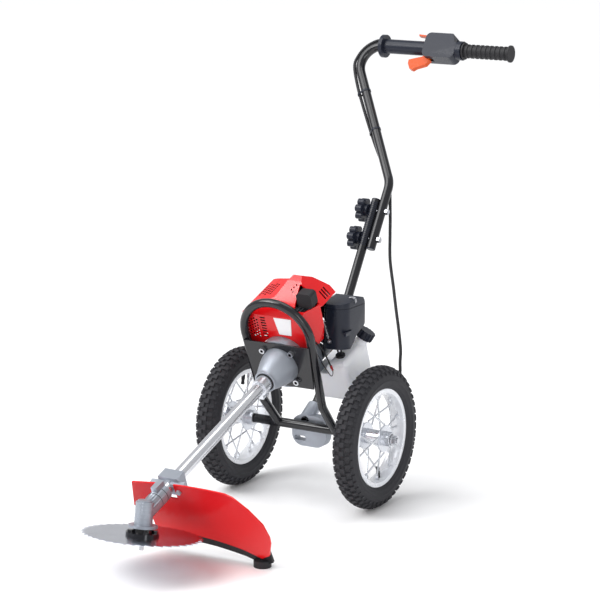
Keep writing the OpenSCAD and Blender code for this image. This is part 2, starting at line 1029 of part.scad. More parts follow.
module clamp_knob(z) {
  color("#202126") in_handle()
    translate([-handle_d - lap_gap / 2 - seat_gap, 0, z])
      rotate([0, -90, 0])
        difference() {
          union() {
            cylinder(d = knob_hub_d, h = knob_hub_h + knob_h);
            translate([0, 0, knob_hub_h]) {
              cylinder(d = knob_d - knob_lobe_d, h = knob_h);
              for (k = [0 : knob_lobes - 1])
                rotate([0, 0, k * 360 / knob_lobes])
                  translate([(knob_d - knob_lobe_d) / 2, 0, 0])
                    cylinder(d = knob_lobe_d, h = knob_h);
            }
          }
          translate([0, 0, -overrun])
            cylinder(d = clamp_bolt_d + 2 * run_gap, h = knob_hub_h + 2 * overrun);
        }
}

// Clutch and shaft

function cone_r(t) =
  mouth_d / 2 + cone_wall + (clutch_d - mouth_d - 2 * cone_wall) / 2 * (1 - pow(t, cone_swell_share));

module clutch_housing() {
  cone_l = cone_front - cone_mouth_l - plate_front;
  outer = [for (i = [0 : cone_steps]) [cone_r(i / cone_steps), plate_front + cone_l * i / cone_steps]];
  color("#a9b0b9") along_shaft()
    difference() {
      rotate_extrude()
        polygon(concat(
          [[0, flange_back], [flange_d / 2, flange_back], [flange_d / 2, flange_front],
          [clutch_d / 2, flange_front]],
          outer,
          [[mouth_d / 2 + cone_wall, cone_front], [0, cone_front]]
        ));
      translate([0, 0, flange_back - overrun])
        cylinder(d = drum_d + 2 * overrun, h = bearing_seat_front - flange_back - drum_wall);
      translate([0, 0, flange_back])
        cylinder(d = clutch_bearing_d + 2 * weld_gap, h = bearing_front - flange_back);
      translate([0, 0, flange_back])
        cylinder(d = shaft_tube_d + 2 * weld_gap, h = cone_front - flange_back);
      translate([0, 0, ring_front - ring_l])
        cylinder(d = mouth_d, h = ring_l + overrun);
      for (sx = [-1, 1], sz = [-1, 1])
        translate([sx * bolt_pitch / 2, sz * bolt_pitch / 2, flange_back - overrun])
          cylinder(d = bolt_d + 2 * seat_gap, h = flange_t + overrun);
    }
}

module rubber_ring() {
  color("#1b1b1e") along_shaft()
    translate([0, 0, ring_front - ring_l])
      ring(mouth_d - 2 * weld_gap, shaft_tube_d + 2 * weld_gap, ring_l);
}

module tube_collar() {
  color("#d5d8dd") along_shaft()
    translate([0, 0, ring_front + seat_gap])
      difference() {
        union() {
          cylinder(d = collar_d, h = collar_l);
          translate([-collar_lug_w / 2, -collar_d / 2 - collar_lug_h, 0])
            cube([collar_lug_w, collar_lug_h + collar_d / 2, collar_l]);
        }
        translate([0, 0, -overrun])
          cylinder(d = shaft_tube_d + 2 * weld_gap, h = collar_l + 2 * overrun);
        translate([-collar_lug_w, -collar_d / 2 - collar_lug_h / 2, collar_l / 2])
          rotate([0, 90, 0])
            cylinder(d = guard_bolt_d, h = 2 * collar_lug_w);
      }
}

module shaft_tube() {
  color("#c9ccd2") along_shaft()
    translate([0, 0, tube_start])
      pipe(shaft_tube_d, tube_wall, shaft_reach - neck_start - neck_l + tube_insert - tube_start);
}

module drive_shaft() {
  color("#8e9096") along_shaft()
    translate([0, 0, bearing_seat_front])
      cylinder(d = drive_d, h = shaft_reach - pinion_back - mesh_gap - weld_gap - bearing_seat_front);
}

module clutch_drum() {
  color("#7d7f85") along_shaft()
    difference() {
      union() {
        translate([0, 0, drum_back])
          cylinder(d = drum_d, h = drum_l);
        translate([0, 0, drum_back + drum_l - overrun])
          cylinder(d = drum_hub_d, h = drum_hub_l);
      }
      translate([0, 0, drum_back - overrun])
        cylinder(d = drum_d - 2 * drum_wall, h = drum_l - drum_wall + overrun);
      translate([0, 0, bearing_seat_front - seat_gap])
        cylinder(d = drive_d + 2 * weld_gap, h = drum_hub_l);
    }
}

module flywheel() {
  color("#8b8d93") along_shaft() {
    difference() {
      union() {
        translate([0, 0, flywheel_back])
          cylinder(d = flywheel_d, h = flywheel_t);
        for (k = [0 : vane_count - 1])
          rotate([0, 0, k * 360 / vane_count])
            translate([shoe_boss_d / 2 - overrun, -vane_t / 2, flywheel_back + flywheel_t - overrun])
              cube([(flywheel_d - shoe_boss_d) / 2 - vane_t, vane_t, vane_h]);
        translate([0, 0, flywheel_back])
          cylinder(d = shoe_boss_d, h = shoe_back + shoe_l - flywheel_back);
      }
      translate([0, 0, flywheel_back - overrun])
        cylinder(d = crank_d + 2 * weld_gap, h = flywheel_t + overrun);
    }
    for (a = [0, 180])
      rotate([0, 0, a])
        translate([0, 0, shoe_back])
          rotate_extrude(angle = shoe_arc)
            translate([shoe_boss_d / 2 + seat_gap, 0])
              square([(shoe_d - shoe_boss_d) / 2 - seat_gap, shoe_l]);
  }
}

module crankshaft() {
  color("#85878d") along_shaft() {
    translate([0, 0, flywheel_back])
      cylinder(d = crank_d, h = flywheel_t - overrun);
    translate([0, 0, case_front - case_l - crank_rear])
      cylinder(d = crank_d, h = flywheel_back - case_front + case_l + crank_rear);
    translate([0, 0, crank_web_back])
      cylinder(d = crank_web_d, h = crank_web_l);
  }
}

// Gear head and blade

module gear_head() {
  color("#c4c8cf") difference() {
    union() {
      in_head() {
        translate([0, 0, head_bottom])
          cylinder(d = head_d, h = head_top - head_bottom);
        translate([0, 0, head_top - overrun])
          cylinder(d = head_cap_d, h = head_cap_h + overrun);
        translate([0, 0, head_bottom - head_flange_t])
          cylinder(d = head_flange_d, h = head_flange_t);
      }
      along_shaft() {
        translate([0, 0, shaft_reach - neck_start - neck_l])
          cylinder(d = neck_d, h = neck_l + neck_start);
        translate([-neck_lug_w / 2, neck_d / 2 - overrun, shaft_reach - neck_start - neck_l])
          cube([neck_lug_w, neck_lug_h, neck_l / 2]);
      }
    }
    along_shaft() {
      translate([0, 0, shaft_reach - neck_start - neck_l - overrun])
        cylinder(d = shaft_tube_d + 2 * weld_gap, h = tube_insert + seat_gap + overrun);
      translate([0, 0, shaft_reach - neck_start - neck_l])
        cylinder(d = drive_d + 2 * head_wall, h = neck_l);
      translate([0, 0, shaft_reach - pinion_back - head_wall])
        cylinder(d = 2 * cone_out * sin(pinion_half) + 2 * head_cavity_gap, h = pinion_back);
    }
    in_head() {
      sphere(r = cone_out + head_cavity_gap);
      translate([0, 0, -gear_hub_back - head_cavity_gap])
        cylinder(d = gear_hub_d + head_wall, h = gear_hub_back);
      translate([0, 0, head_bottom - head_flange_t - overrun])
        cylinder(d = spindle_d + 2 * run_gap, h = -head_bottom + head_flange_t);
    }
  }
}

module bevel(half, bore, rim_t, hub_d, back, teeth) {
  face_in = [cone_in * sin(half), -cone_in * cos(half)];
  face_out = [cone_out * sin(half), -cone_out * cos(half)];
  difference() {
    rotate_extrude()
      polygon([
        [bore / 2, face_in[1]], face_in, face_out, face_out - [0, rim_t],
        [hub_d / 2, face_out[1] - rim_t], [hub_d / 2, -back], [bore / 2, -back]
      ]);
    for (k = [0 : teeth - 1])
      rotate([0, 180 - half, k * 360 / teeth])
        translate([0, 0, cone_in - overrun])
          cylinder(r = tooth_cut, h = cone_out - cone_in + 2 * overrun, $fn = 16);
  }
}

module bevel_pinion() {
  color("#77797f") along_shaft()
    translate([0, 0, shaft_reach - mesh_gap])
      bevel(pinion_half, 0, gear_rim_t, pinion_hub_d, pinion_back, pinion_teeth);
}

module bevel_gear() {
  color("#77797f") in_head()
    bevel(gear_half, spindle_d + 2 * weld_gap, gear_rim_t, gear_hub_d, gear_hub_back, gear_teeth);
}

module blade_spindle() {
  top = -cone_in * cos(gear_half);
  nut_end = blade_top - blade_t - cup_h - blade_nut_h;
  color("#9fa1a7") in_head()
    difference() {
      translate([0, 0, spindle_tail])
        cylinder(d = spindle_d, h = top - spindle_tail);
      translate([0, 0, nut_end - thread_relief - seat_gap])
        ring(2 * spindle_d, spindle_d - thread_relief, thread_relief);
    }
}

module blade_holder() {
  color("#1e1f23") in_head()
    difference() {
      union() {
        translate([0, 0, blade_top])
          cylinder(d = holder_d, h = holder_t);
        translate([0, 0, blade_top + holder_t - overrun])
          cylinder(d = holder_hub_d, h = holder_hub_h + overrun);
        translate([0, 0, blade_top - pilot_h])
          cylinder(d = blade_bore_d, h = pilot_h + overrun);
        for (k = [0 : bolt_ring_count - 1])
          rotate([0, 0, 45 + k * 360 / bolt_ring_count])
            translate([bolt_ring_d / 2, 0, blade_top + holder_t - overrun])
              cylinder(d = guard_bolt_head_d, h = guard_bolt_head_h + overrun, $fn = 6);
      }
      translate([0, 0, blade_top - holder_t])
        cylinder(d = spindle_d + 2 * weld_gap, h = 2 * holder_t + holder_hub_h + overrun);
    }
}

module blade_outline() {
  r = blade_d / 2;
  step = 360 / blade_teeth;
  polygon([
    for (k = [0 : blade_teeth - 1], p = tooth_shares)
      (r - gullet * p[0]) * [cos((k + p[1]) * step), sin((k + p[1]) * step)]
  ]);
}

module saw_blade() {
  color("#aeb2ba") in_head()
    translate([0, 0, blade_top - blade_t])
      linear_extrude(blade_t)
        difference() {
          blade_outline();
          circle(d = blade_bore_d + 2 * weld_gap);
        }
}

module blade_cup() {
  color("#8c8e94") in_head()
    translate([0, 0, blade_top - blade_t - cup_h])
      difference() {
        cylinder(d1 = cup_d * cup_taper_share, d2 = cup_d, h = cup_h);
        translate([0, 0, -overrun])
          cylinder(d = spindle_d + 2 * weld_gap, h = cup_h + 2 * overrun);
      }
}

module blade_nut() {
  color("#a2a4aa") in_head()
    translate([0, 0, blade_top - blade_t - cup_h - blade_nut_h])
      hex_nut(blade_nut_af, spindle_d + 2 * weld_gap, blade_nut_h);
}

// Guard

module guard_sheet(front, thick) {
  axis_x = guard_left * guard_axis_share;
  translate([axis_x, -2 * guard_l, guard_bend_r])
    rotate([-90, 0, 0])
      difference() {
        cylinder(r = guard_bend_r + front + thick, h = 4 * guard_l, $fn = 200);
        translate([0, 0, -overrun])
          cylinder(r = guard_bend_r + front, h = 4 * guard_l + 2 * overrun, $fn = 200);
      }
}

function guard_sag(x) =
  guard_bend_r - sqrt(pow(guard_bend_r, 2) - pow(x - guard_left * guard_axis_share, 2));

module guard_outline() {
  difference() {
    polygon([for (p = guard_outline_shares) [p[0] * guard_left, p[1] * guard_l]]);
    translate([-notch_half, -notch_floor])
      square([2 * notch_half, 4 * notch_floor]);
    for (sx = [-1, 1])
      translate([sx * guard_bolt_x, guard_bolt_y])
        circle(d = guard_bolt_d + 4 * seat_gap);
  }
}

module guard() {
  color("#e01d22") in_guard()
    intersection() {
      guard_sheet(0, guard_t);
      translate([0, 0, -guard_l])
        linear_extrude(2 * guard_l)
          guard_outline();
    }
}

module skirt_outline() {
  low = [for (p = guard_outline_shares) if (p[1] < skirt_from_share) [p[0] * guard_left, p[1] * guard_l]];
  polygon(concat(
    [for (p = low) [p[0], p[1] + skirt_lap]],
    [for (i = [len(low) - 1 : -1 : 0]) [low[i][0], low[i][1] - skirt_drop]]
  ));
}

module guard_skirt() {
  color("#222327") {
    in_guard()
      intersection() {
        guard_sheet(guard_t + seat_gap, skirt_t);
        translate([0, 0, -guard_l])
          linear_extrude(2 * guard_l)
            skirt_outline();
      }
    translate([foot_x, -foot_y, 0])
      cylinder(d = foot_d, h = foot_h);
  }
}

module guard_clamp() {
  color("#b3b7be") {
    difference() {
      union() {
        along_shaft()
          translate([-clamp_w / 2, -clamp_h / 2, guard_reach - clamp_l - 2 * clamp_pad_t])
            cube([clamp_w, clamp_h, clamp_l]);
        in_guard()
          intersection() {
            guard_sheet(guard_t + seat_gap, 3 * clamp_pad_t);
            translate([-clamp_pad_w / 2, guard_bolt_y - clamp_pad_h / 2, -guard_l])
              cube([clamp_pad_w, clamp_pad_h, 2 * guard_l]);
          }
      }
      in_guard()
        guard_sheet(-guard_l, guard_l + guard_t + seat_gap);
      along_shaft()
        translate([0, 0, guard_reach - 2 * clamp_l])
          cylinder(d = shaft_tube_d + 2 * weld_gap, h = 3 * clamp_l);
    }
    in_guard()
      for (sx = [-1, 1])
        translate([sx * guard_bolt_x, guard_bolt_y, guard_sag(sx * guard_bolt_x) + guard_bolt_gap]) {
          cylinder(d = guard_bolt_head_d, h = guard_bolt_head_h, $fn = 6);
          translate([0, 0, -guard_bolt_l])
            cylinder(d = guard_bolt_d, h = guard_bolt_l + overrun);
        }
  }
}

// Engine

module crankcase() {
  color("#b9bdc4") along_shaft()
    difference() {
      union() {
        translate([0, 0, case_front])
          cylinder(d = fan_case_d, h = fan_case_l);
        translate([0, case_drop, case_front - case_l])
          linear_extrude(case_l + overrun)
            rounded_rect(case_w, case_h, case_round);
        translate([case_foot_x, tank_top - tank_step + seat_gap, -case_foot_y])
          cube([case_foot_w, -tank_top + tank_step, case_foot_l]);
      }
      translate([0, 0, flywheel_back - overrun])
        cylinder(d = fan_bore_d, h = fan_case_l + 2 * flange_t);
      translate([0, 0, case_front - case_l - overrun])
        cylinder(d = crank_d + 2 * run_gap, h = case_l + fan_case_l);
      translate([0, 0, crank_web_back - (crank_bore_l - crank_web_l) / 2])
        cylinder(d = crank_bore_d, h = crank_bore_l);
      for (sx = [-1, 1], sz = [-1, 1])
        translate([sx * bolt_pitch / 2, sz * bolt_pitch / 2, plate_front - bolt_l - seat_gap])
          cylinder(d = bolt_d + 2 * weld_gap, h = bolt_l);
    }
}

module cylinder_block() {
  base = case_drop + case_h / 2 + weld_gap;
  color("#9da1a8") in_engine()
    translate([0, cylinder_y, base])
      difference() {
        union() {
          cylinder(d = cylinder_d, h = cylinder_h);
          for (k = [0 : fin_count - 1])
            translate([0, 0, fin_start + k * fin_pitch])
              linear_extrude(fin_t)
                rounded_rect(fin_w, fin_l, fin_round);
        }
        translate([0, 0, -overrun])
          cylinder(d = cylinder_bore_d, h = cylinder_h - cylinder_roof + overrun);
        translate([0, -cylinder_y, -base])
          on_plug()
            cylinder(d = plug_d + 2 * weld_gap, h = plug_l + overrun);
      }
}

module cover_form(inset, drop) {
  w = cover_w - 2 * inset;
  h = cover_h - inset;
  l = cover_l - 2 * inset;
  translate([0, cover_front + inset, cover_base - drop])
    intersection() {
      translate([0, l, 0])
        rotate([90, 0, 0])
          linear_extrude(l)
            polygon([for (p = cover_front_shares) [p[0] * w, p[1] * h]]);
      translate([-cover_w, 0, 0])
        rotate([90, 0, 90])
          linear_extrude(2 * cover_w)
            polygon([for (p = cover_side_shares) [p[0] * l, p[1] * h]]);
      linear_extrude(h)
        polygon([for (p = cover_plan_shares) [p[0] * w, p[1] * l]]);
    }
}

module cover_shell() {
  difference() {
    cover_form(0, 0);
    cover_form(cover_wall, overrun);
    rotate([90, 0, 0])
      translate([0, 0, -cover_l])
        cylinder(d = fan_case_d + 4 * seat_gap, h = cover_l);
    translate([box_in - box_gap, box_y - box_gap, cover_base - overrun])
      cube([cover_w, cover_l, box_h + box_z - cover_base]);
    translate([
      plug_cap_x - plug_cap_w / 2 - plug_gap, cover_front - overrun,
      plug_cap_z - plug_cap_h / 2 - plug_gap
    ])
      cube([cover_w, plug_cap_y + plug_cap_l / 2 + plug_gap - cover_front + overrun, cover_h]);
  }
}

module grille(x, y, z, turn) {
  translate([x, y, z])
    rotate(turn)
      for (i = [0 : grille_cols - 1], j = [0 : grille_rows - 1])
        translate([i * grille_pitch, j * grille_pitch, -grille_deep])
          cylinder(d = grille_d, h = 2 * grille_deep, $fn = 16);
}

module engine_cover() {
  color("#e01d22") in_engine() {
    difference() {
      cover_shell();
      translate([cover_split_x + cover_seam - cover_w, -cover_l, 0])
        cube([cover_w, 4 * cover_l, 2 * cover_h]);
      for (k = [0 : slot_count - 1])
        translate([slot_x - slot_l / 2, slot_y + k * slot_pitch, cover_base])
          cube([slot_l, slot_d, cover_h]);
    }
    translate([0, cover_front, label_z])
      rotate([90, 0, 0])
        linear_extrude(label_t)
          polygon([
            [-label_w * label_foot_share, 0], [label_w * label_foot_share, 0],
            [label_w / 2, label_h], [-label_w / 2, label_h]
          ]);
  }
}

module muffler_cover() {
  color("#d91b20") in_engine()
    difference() {
      intersection() {
        cover_shell();
        translate([cover_split_x - cover_w, -cover_l, 0])
          cube([cover_w, 4 * cover_l, 2 * cover_h]);
      }
      grille(grille_x, grille_y, grille_z, [0, grille_lean, 0]);
      for (k = [0 : louvre_count - 1])
        translate([louvre_x - louvre_l, cover_front - overrun, louvre_z + k * louvre_pitch])
          cube([louvre_l, cover_l / 2, louvre_h]);
    }
}

module muffler() {
  color("#6d6f75") in_engine() {
    translate([muffler_x, muffler_y + muffler_l / 2, muffler_z])
      rotate([90, 0, 0])
        linear_extrude(muffler_l)
          rounded_rect(muffler_w, muffler_h, muffler_round);
    translate([muffler_x, cylinder_y, muffler_z])
      rotate([0, 90, 0])
        cylinder(d = pipe_d, h = -muffler_x - fin_w / 2 - seat_gap);
  }
}

module on_plug() {
  translate([plug_cap_x - plug_cap_w / 2 + overrun, plug_cap_y, plug_cap_z - plug_cap_h / 4])
    rotate([0, 180 + plug_lean, 0])
      children();
}

module spark_cap() {
  color("#26272c") in_engine() {
    translate([plug_cap_x, plug_cap_y + plug_cap_l / 2, plug_cap_z])
      rotate([90, 0, 0])
        linear_extrude(plug_cap_l)
          rounded_rect(plug_cap_w, plug_cap_h, plug_cap_round);
    on_plug()
      cylinder(d = plug_d, h = plug_l);
  }
}

module carburettor() {
  color("#a4a7ad") in_engine()
    difference() {
      translate([carb_x - carb_w / 2, carb_y - carb_l / 2, carb_z - carb_h / 2])
        cube([carb_w, carb_l, carb_h]);
      translate([carb_x - carb_w, carb_y, carb_z])
        rotate([0, 90, 0])
          cylinder(d = carb_l / 2, h = 2 * carb_w);
    }
}

module in_box() {
  in_engine()
    translate([0, box_y, box_z])
      rotate([-shaft_tilt, 0, 0])
        children();
}

module air_box() {
  mid = (box_in + box_out) / 2;
  w = box_out - box_in;
  color("#30333c") {
    in_box()
      difference() {
        intersection() {
          translate([box_in, 0, 0])
            rotate([90, 0, 90])
              linear_extrude(w)
                polygon([for (p = box_side_shares) [p[0] * box_l, p[1] * box_h]]);
          translate([mid, box_l / 2, -box_h])
            linear_extrude(3 * box_h)
              rounded_rect(w, box_l, box_round);
        }
        translate([mid, box_l / 2, box_h * box_lid_z_share])
          difference() {
            translate([-box_l, -box_l, 0])
              cube([2 * box_l, 2 * box_l, lid_groove_h]);
            translate([0, 0, -overrun])
              linear_extrude(lid_groove_h + 2 * overrun)
                rounded_rect(w - 2 * lid_groove, box_l - 2 * lid_groove, box_round - lid_groove);
          }
      }
    in_engine()
      difference() {
        translate([stay_x - stay_w / 2, stay_y, box_z - stay_drop])
          cube([stay_w, stay_l, stay_drop + stay_rise]);
        translate([stay_x, stay_y - overrun, stay_z])
          rotate([-90, 0, 0])
            cylinder(d = ferrule_d + 2 * weld_gap, h = stay_l + 2 * overrun);
      }
  }
}

module tank_form(inset) {
  w = tank_w - 2 * inset;
  l = tank_l - 2 * inset;
  h = tank_h - 2 * inset;
  step_w = tank_w - tank_step_x + tank_x - 2 * inset;
  translate([tank_x + tank_w / 2, tank_y + tank_l / 2, tank_top - tank_h / 2])
    intersection() {
      translate([0, 0, -h / 2])
        linear_extrude(h)
          rounded_rect(w, l, tank_round);
      translate([0, l / 2, 0])
        rotate([90, 0, 0])
          linear_extrude(l) {
            translate([0, -tank_step / 2])
              rounded_rect(w, h - tank_step, tank_round);
            translate([w / 2 - step_w / 2, 0])
              rounded_rect(step_w, h, tank_round);
          }
      translate([-w / 2, 0, 0])
        rotate([90, 0, 90])
          linear_extrude(w)
            rounded_rect(l, h, tank_round);
    }
}

module on_neck() {
  in_engine()
    translate([tank_neck_x, tank_neck_y, tank_neck_z])
      rotate([0, 0, tank_neck_az])
        rotate([0, tank_neck_tilt, 0])
          children();
}

module fuel_tank() {
  color("#e6e8f2") {
    difference() {
      union() {
        in_engine()
          tank_form(0);
        on_neck()
          translate([0, 0, -overrun])
            cylinder(d = tank_neck_d, h = tank_neck_l + overrun);
      }
      in_engine()
        tank_form(tank_wall);
      on_neck()
        translate([0, 0, -tank_neck_l])
          cylinder(d = tank_neck_d - 2 * tank_wall, h = 2 * tank_neck_l + overrun);
    }
    in_engine()
      translate([grommet_x, grommet_y, tank_top + weld_gap])
        cylinder(d = grommet_d, h = grommet_h);
  }
}

module fuel_cap() {
  color("#222328") on_neck()
    translate([0, 0, tank_neck_l + seat_gap + cap_top_t - cap_h])
      difference() {
        union() {
          cylinder(d = cap_d, h = cap_h);
          for (k = [0 : cap_ribs - 1])
            rotate([0, 0, k * 360 / cap_ribs])
              translate([cap_d / 2, 0, 0])
                cylinder(d = cap_rib_d, h = cap_h, $fn = 16);
        }
        translate([0, 0, -overrun])
          cylinder(d = tank_neck_d + 2 * run_gap, h = cap_h - cap_top_t + overrun);
      }
}

module starter_cover() {
  back = -case_front + case_l + seat_gap;
  boss_in = sqrt(pow(starter_d / 2 - starter_wall, 2) - pow(pull_z, 2));
  color("#26282e") in_engine()
    translate([0, back, 0])
      difference() {
        union() {
          rotate([-90, 0, 0])
            difference() {
              cylinder(d = starter_d, h = starter_l);
              translate([0, 0, -overrun])
                cylinder(d = starter_d - 2 * starter_wall, h = starter_l - starter_wall + overrun);
              for (k = [0 : starter_vents - 1])
                rotate([0, 0, k * 360 / starter_vents])
                  translate([starter_vent_r, -starter_vent_w / 2, 0])
                    cube([starter_vent_l, starter_vent_w, starter_l + overrun]);
            }
          translate([-pull_boss_x, starter_l / 2, pull_z])
            rotate([0, 90, 0])
              cylinder(d = pull_boss_d, h = pull_boss_x - boss_in);
        }
        translate([-pull_boss_x - overrun, starter_l / 2, pull_z])
          rotate([0, 90, 0])
            cylinder(d = rope_d + 4 * seat_gap, h = pull_boss_x);
      }
}

module starter_handle() {
  back = -case_front + case_l + seat_gap;
  color("#1f2025") in_engine()
    translate([-pull_boss_x - seat_gap, back + starter_l / 2, pull_z]) {
      rotate([0, -90, 0])
        cylinder(d = pull_neck_d, h = pull_neck_l + pull_d / 2);
      translate([-pull_neck_l - pull_d / 2, pull_w / 2, 0])
        rotate([90, 0, 0])
          cylinder(d = pull_d, h = pull_w);
      rotate([0, 90, 0])
        translate([0, 0, -overrun])
          cylinder(d = rope_d, h = rope_l + overrun);
    }
}

module choke_lever() {
  color("#2b2c31") in_box()
    translate([box_out, box_l * choke_y_share, box_h * choke_z_share])
      rotate([0, 90, 0]) {
        translate([0, 0, seat_gap])
          cylinder(d = choke_w + choke_t, h = choke_t);
        translate([-choke_w / 2, -choke_l, seat_gap])
          cube([choke_w, choke_l, choke_t]);
        translate([-choke_w / 2, -choke_l, seat_gap])
          cube([choke_w, choke_t, 2 * choke_t]);
      }
}

// Throttle

module throttle_housing() {
  color("#2a2b31") along_bar() {
    difference() {
      union() {
        translate([sleeve_start, 0, 0])
          rotate([0, 90, 0]) {
            cylinder(d = sleeve_d, h = sleeve_l);
            cylinder(d = stop_ring_d, h = stop_ring_l);
          }
        translate([pod_start + pod_l / 2, pod_w / 2, pod_rise])
          rotate([90, 0, 0])
            linear_extrude(pod_w)
              rounded_rect(pod_l, pod_h, pod_round);
        translate([pod_start + pod_l - overrun, 0, 0])
          rotate([0, 90, 0])
            cylinder(d = band_d, h = band_l + overrun);
        translate([pod_start - sleeve_l / 2, 0, 0])
          rotate([0, 90, 0])
            cylinder(d = sleeve_d, h = sleeve_l / 2 + overrun);
      }
      translate([sleeve_start - overrun, 0, 0])
        rotate([0, 90, 0])
          cylinder(d = handle_d + 2 * sleeve_gap, h = grip_start - sleeve_start + overrun);
      translate([trigger_pivot_x - trigger_slot_in, -trigger_w / 2 - trigger_slot_gap, -pod_h])
        cube([trigger_slot_l, trigger_w + 2 * trigger_slot_gap, pod_h + trigger_slot_top]);
      translate([lock_pivot_x - lock_slot_l, -lock_w / 2 - trigger_slot_gap, lock_slot_floor])
        cube([2 * lock_slot_l, lock_w + 2 * trigger_slot_gap, pod_h]);
      translate([
        switch_x - switch_stem_l / 2 - seat_gap, -switch_stem_w / 2 - seat_gap,
        pod_rise + pod_h / 2 - switch_stem_h - 2 * seat_gap
      ])
        cube([switch_slot_l, switch_stem_w + 2 * seat_gap, 2 * switch_stem_h]);
    }
    translate([trigger_pivot_x, trigger_w, trigger_pivot_z])
      rotate([90, 0, 0])
        cylinder(d = trigger_pin_d, h = 2 * trigger_w);
    translate([lock_pivot_x, lock_w, lock_pivot_z])
      rotate([90, 0, 0])
        cylinder(d = lock_pin_d, h = 2 * lock_w);
  }
}

module trigger() {
  color("#ee5a1e") along_bar()
    translate([trigger_pivot_x, trigger_w / 2, trigger_pivot_z])
      rotate([90, 0, 0])
        linear_extrude(trigger_w)
          difference() {
            polygon([for (p = trigger_shares) [p[0] * trigger_l, p[1] * trigger_drop]]);
            circle(d = trigger_pin_d + 2 * run_gap);
          }
}

module lock_lever() {
  color("#ee5a1e") along_bar()
    translate([lock_pivot_x, lock_w / 2, lock_pivot_z])
      rotate([90, 0, 0])
        linear_extrude(lock_w)
          difference() {
            polygon([for (p = lock_shares) [p[0] * lock_l, p[1] * lock_h]]);
            circle(d = lock_pin_d + 2 * run_gap);
          }
}

module stop_switch() {
  color("#ee5a1e") along_bar()
    translate([switch_x, 0, pod_rise + pod_h / 2 + seat_gap]) {
      translate([-switch_l / 2, -switch_w / 2, 0])
        cube([switch_l, switch_w, switch_h]);
      translate([-switch_stem_l / 2, -switch_stem_w / 2, -switch_stem_h])
        cube([switch_stem_l, switch_stem_w, switch_stem_h + overrun]);
    }
}

module rubber_grip() {
  l = bar_l - grip_start;
  pitch = l / (grip_ribs + 1);
  color("#1f2024") along_bar()
    translate([grip_start, 0, 0])
      rotate([0, 90, 0])
        difference() {
          union() {
            cylinder(d = grip_d - 2 * grip_rib_h, h = l + grip_cap_l);
            for (k = [1 : grip_ribs])
              translate([0, 0, k * pitch - grip_rib_l / 2])
                cylinder(d = grip_d, h = grip_rib_l);
            cylinder(d = grip_flange_d, h = grip_flange_l);
            translate([0, 0, l + grip_cap_l - grip_flange_l])
              cylinder(d = grip_flange_d, h = grip_flange_l);
          }
          translate([0, 0, -overrun])
            cylinder(d = handle_d + 2 * run_gap, h = l + overrun + weld_gap);
        }
}

// Cables

function unit(v) = v / norm(v);

function curve_point(p, i, t) =
  let (
    a = p[max(i - 1, 0)],
    b = p[i],
    c = p[i + 1],
    d = p[min(i + 2, len(p) - 1)]
  )
  (2 * b + (c - a) * t + (2 * a - 5 * b + 4 * c - d) * t * t + (3 * b - a - 3 * c + d) * t * t * t) / 2;

function smooth(p, n) = concat(
  [for (i = [0 : len(p) - 2], k = [0 : n - 1]) curve_point(p, i, k / n)],
  [p[len(p) - 1]]
);

function heading(p, i) = unit(p[min(i + 1, len(p) - 1)] - p[max(i - 1, 0)]);

function carried(u, t) = unit(u - t * (u * t));

function frames(p, i, u, done) =
  i == len(p) ? done : let (n = carried(u, heading(p, i))) frames(p, i + 1, n, concat(done, [n]));

module tube_along(p, d, sides) {
  us = frames(p, 0, [0, 0, 1], []);
  n = len(p);
  pts = [
    for (i = [0 : n - 1], k = [0 : sides - 1])
      p[i] + d / 2 * (us[i] * cos(k * 360 / sides) + cross(heading(p, i), us[i]) * sin(k * 360 / sides))
  ];
  walls = [
    for (i = [0 : n - 2], k = [0 : sides - 1])
      [i * sides + k, (i + 1) * sides + k, (i + 1) * sides + (k + 1) % sides, i * sides + (k + 1) % sides]
  ];
  caps = [
    [for (k = [0 : sides - 1]) k],
    [for (k = [sides - 1 : -1 : 0]) (n - 1) * sides + k]
  ];
  polyhedron(pts, concat(walls, caps));
}

module throttle_cable() {
  color("#2e2f33") {
    tube_along(smooth(cable_route, cable_steps), cable_d, cable_sides);
    in_engine()
      translate([stay_x, stay_y + stay_l + ferrule_l / 2, stay_z])
        rotate([90, 0, 0])
          cylinder(d = ferrule_d, h = stay_l + ferrule_l / 2);
  }
}

module stop_wires() {
  color("#8c1f22") {
    tube_along(smooth([for (p = wire_route) engine_point(p)], cable_steps), wire_d, wire_sides);
    tube_along(smooth([for (p = return_route) engine_point(p)], cable_steps), wire_d / 2, wire_sides);
  }
}

tyre(1);  // tyre_left
tyre(-1);  // tyre_right
rim(1);  // rim_left
rim(-1);  // rim_right
hub(1);  // hub_left
hub(-1);  // hub_right
spokes(1);  // spokes_left
spokes(-1);  // spokes_right
axle_rod();
axle_nuts();
axle_tube();
ball_bearings();
frame_hoop();
engine_plate();
plate_bolts();
handle_socket();
lower_handle();
upper_handle();
handle_bolts();
clamp_knob(knob_high);  // upper_knob
clamp_knob(knob_low);  // lower_knob
clutch_housing();
rubber_ring();
tube_collar();
shaft_tube();
drive_shaft();
clutch_drum();
flywheel();
crankshaft();
gear_head();
bevel_pinion();
bevel_gear();
blade_spindle();
blade_holder();
saw_blade();
blade_cup();
blade_nut();
guard();
guard_skirt();
guard_clamp();
crankcase();
cylinder_block();
engine_cover();
muffler_cover();
muffler();
spark_cap();
carburettor();
air_box();
fuel_tank();
fuel_cap();
starter_cover();
starter_handle();
choke_lever();
throttle_housing();
trigger();
lock_lever();
stop_switch();
rubber_grip();
throttle_cable();
stop_wires();
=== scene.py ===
import json
import math

import bmesh
import bpy
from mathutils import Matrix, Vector
from mathutils.bvhtree import BVHTree


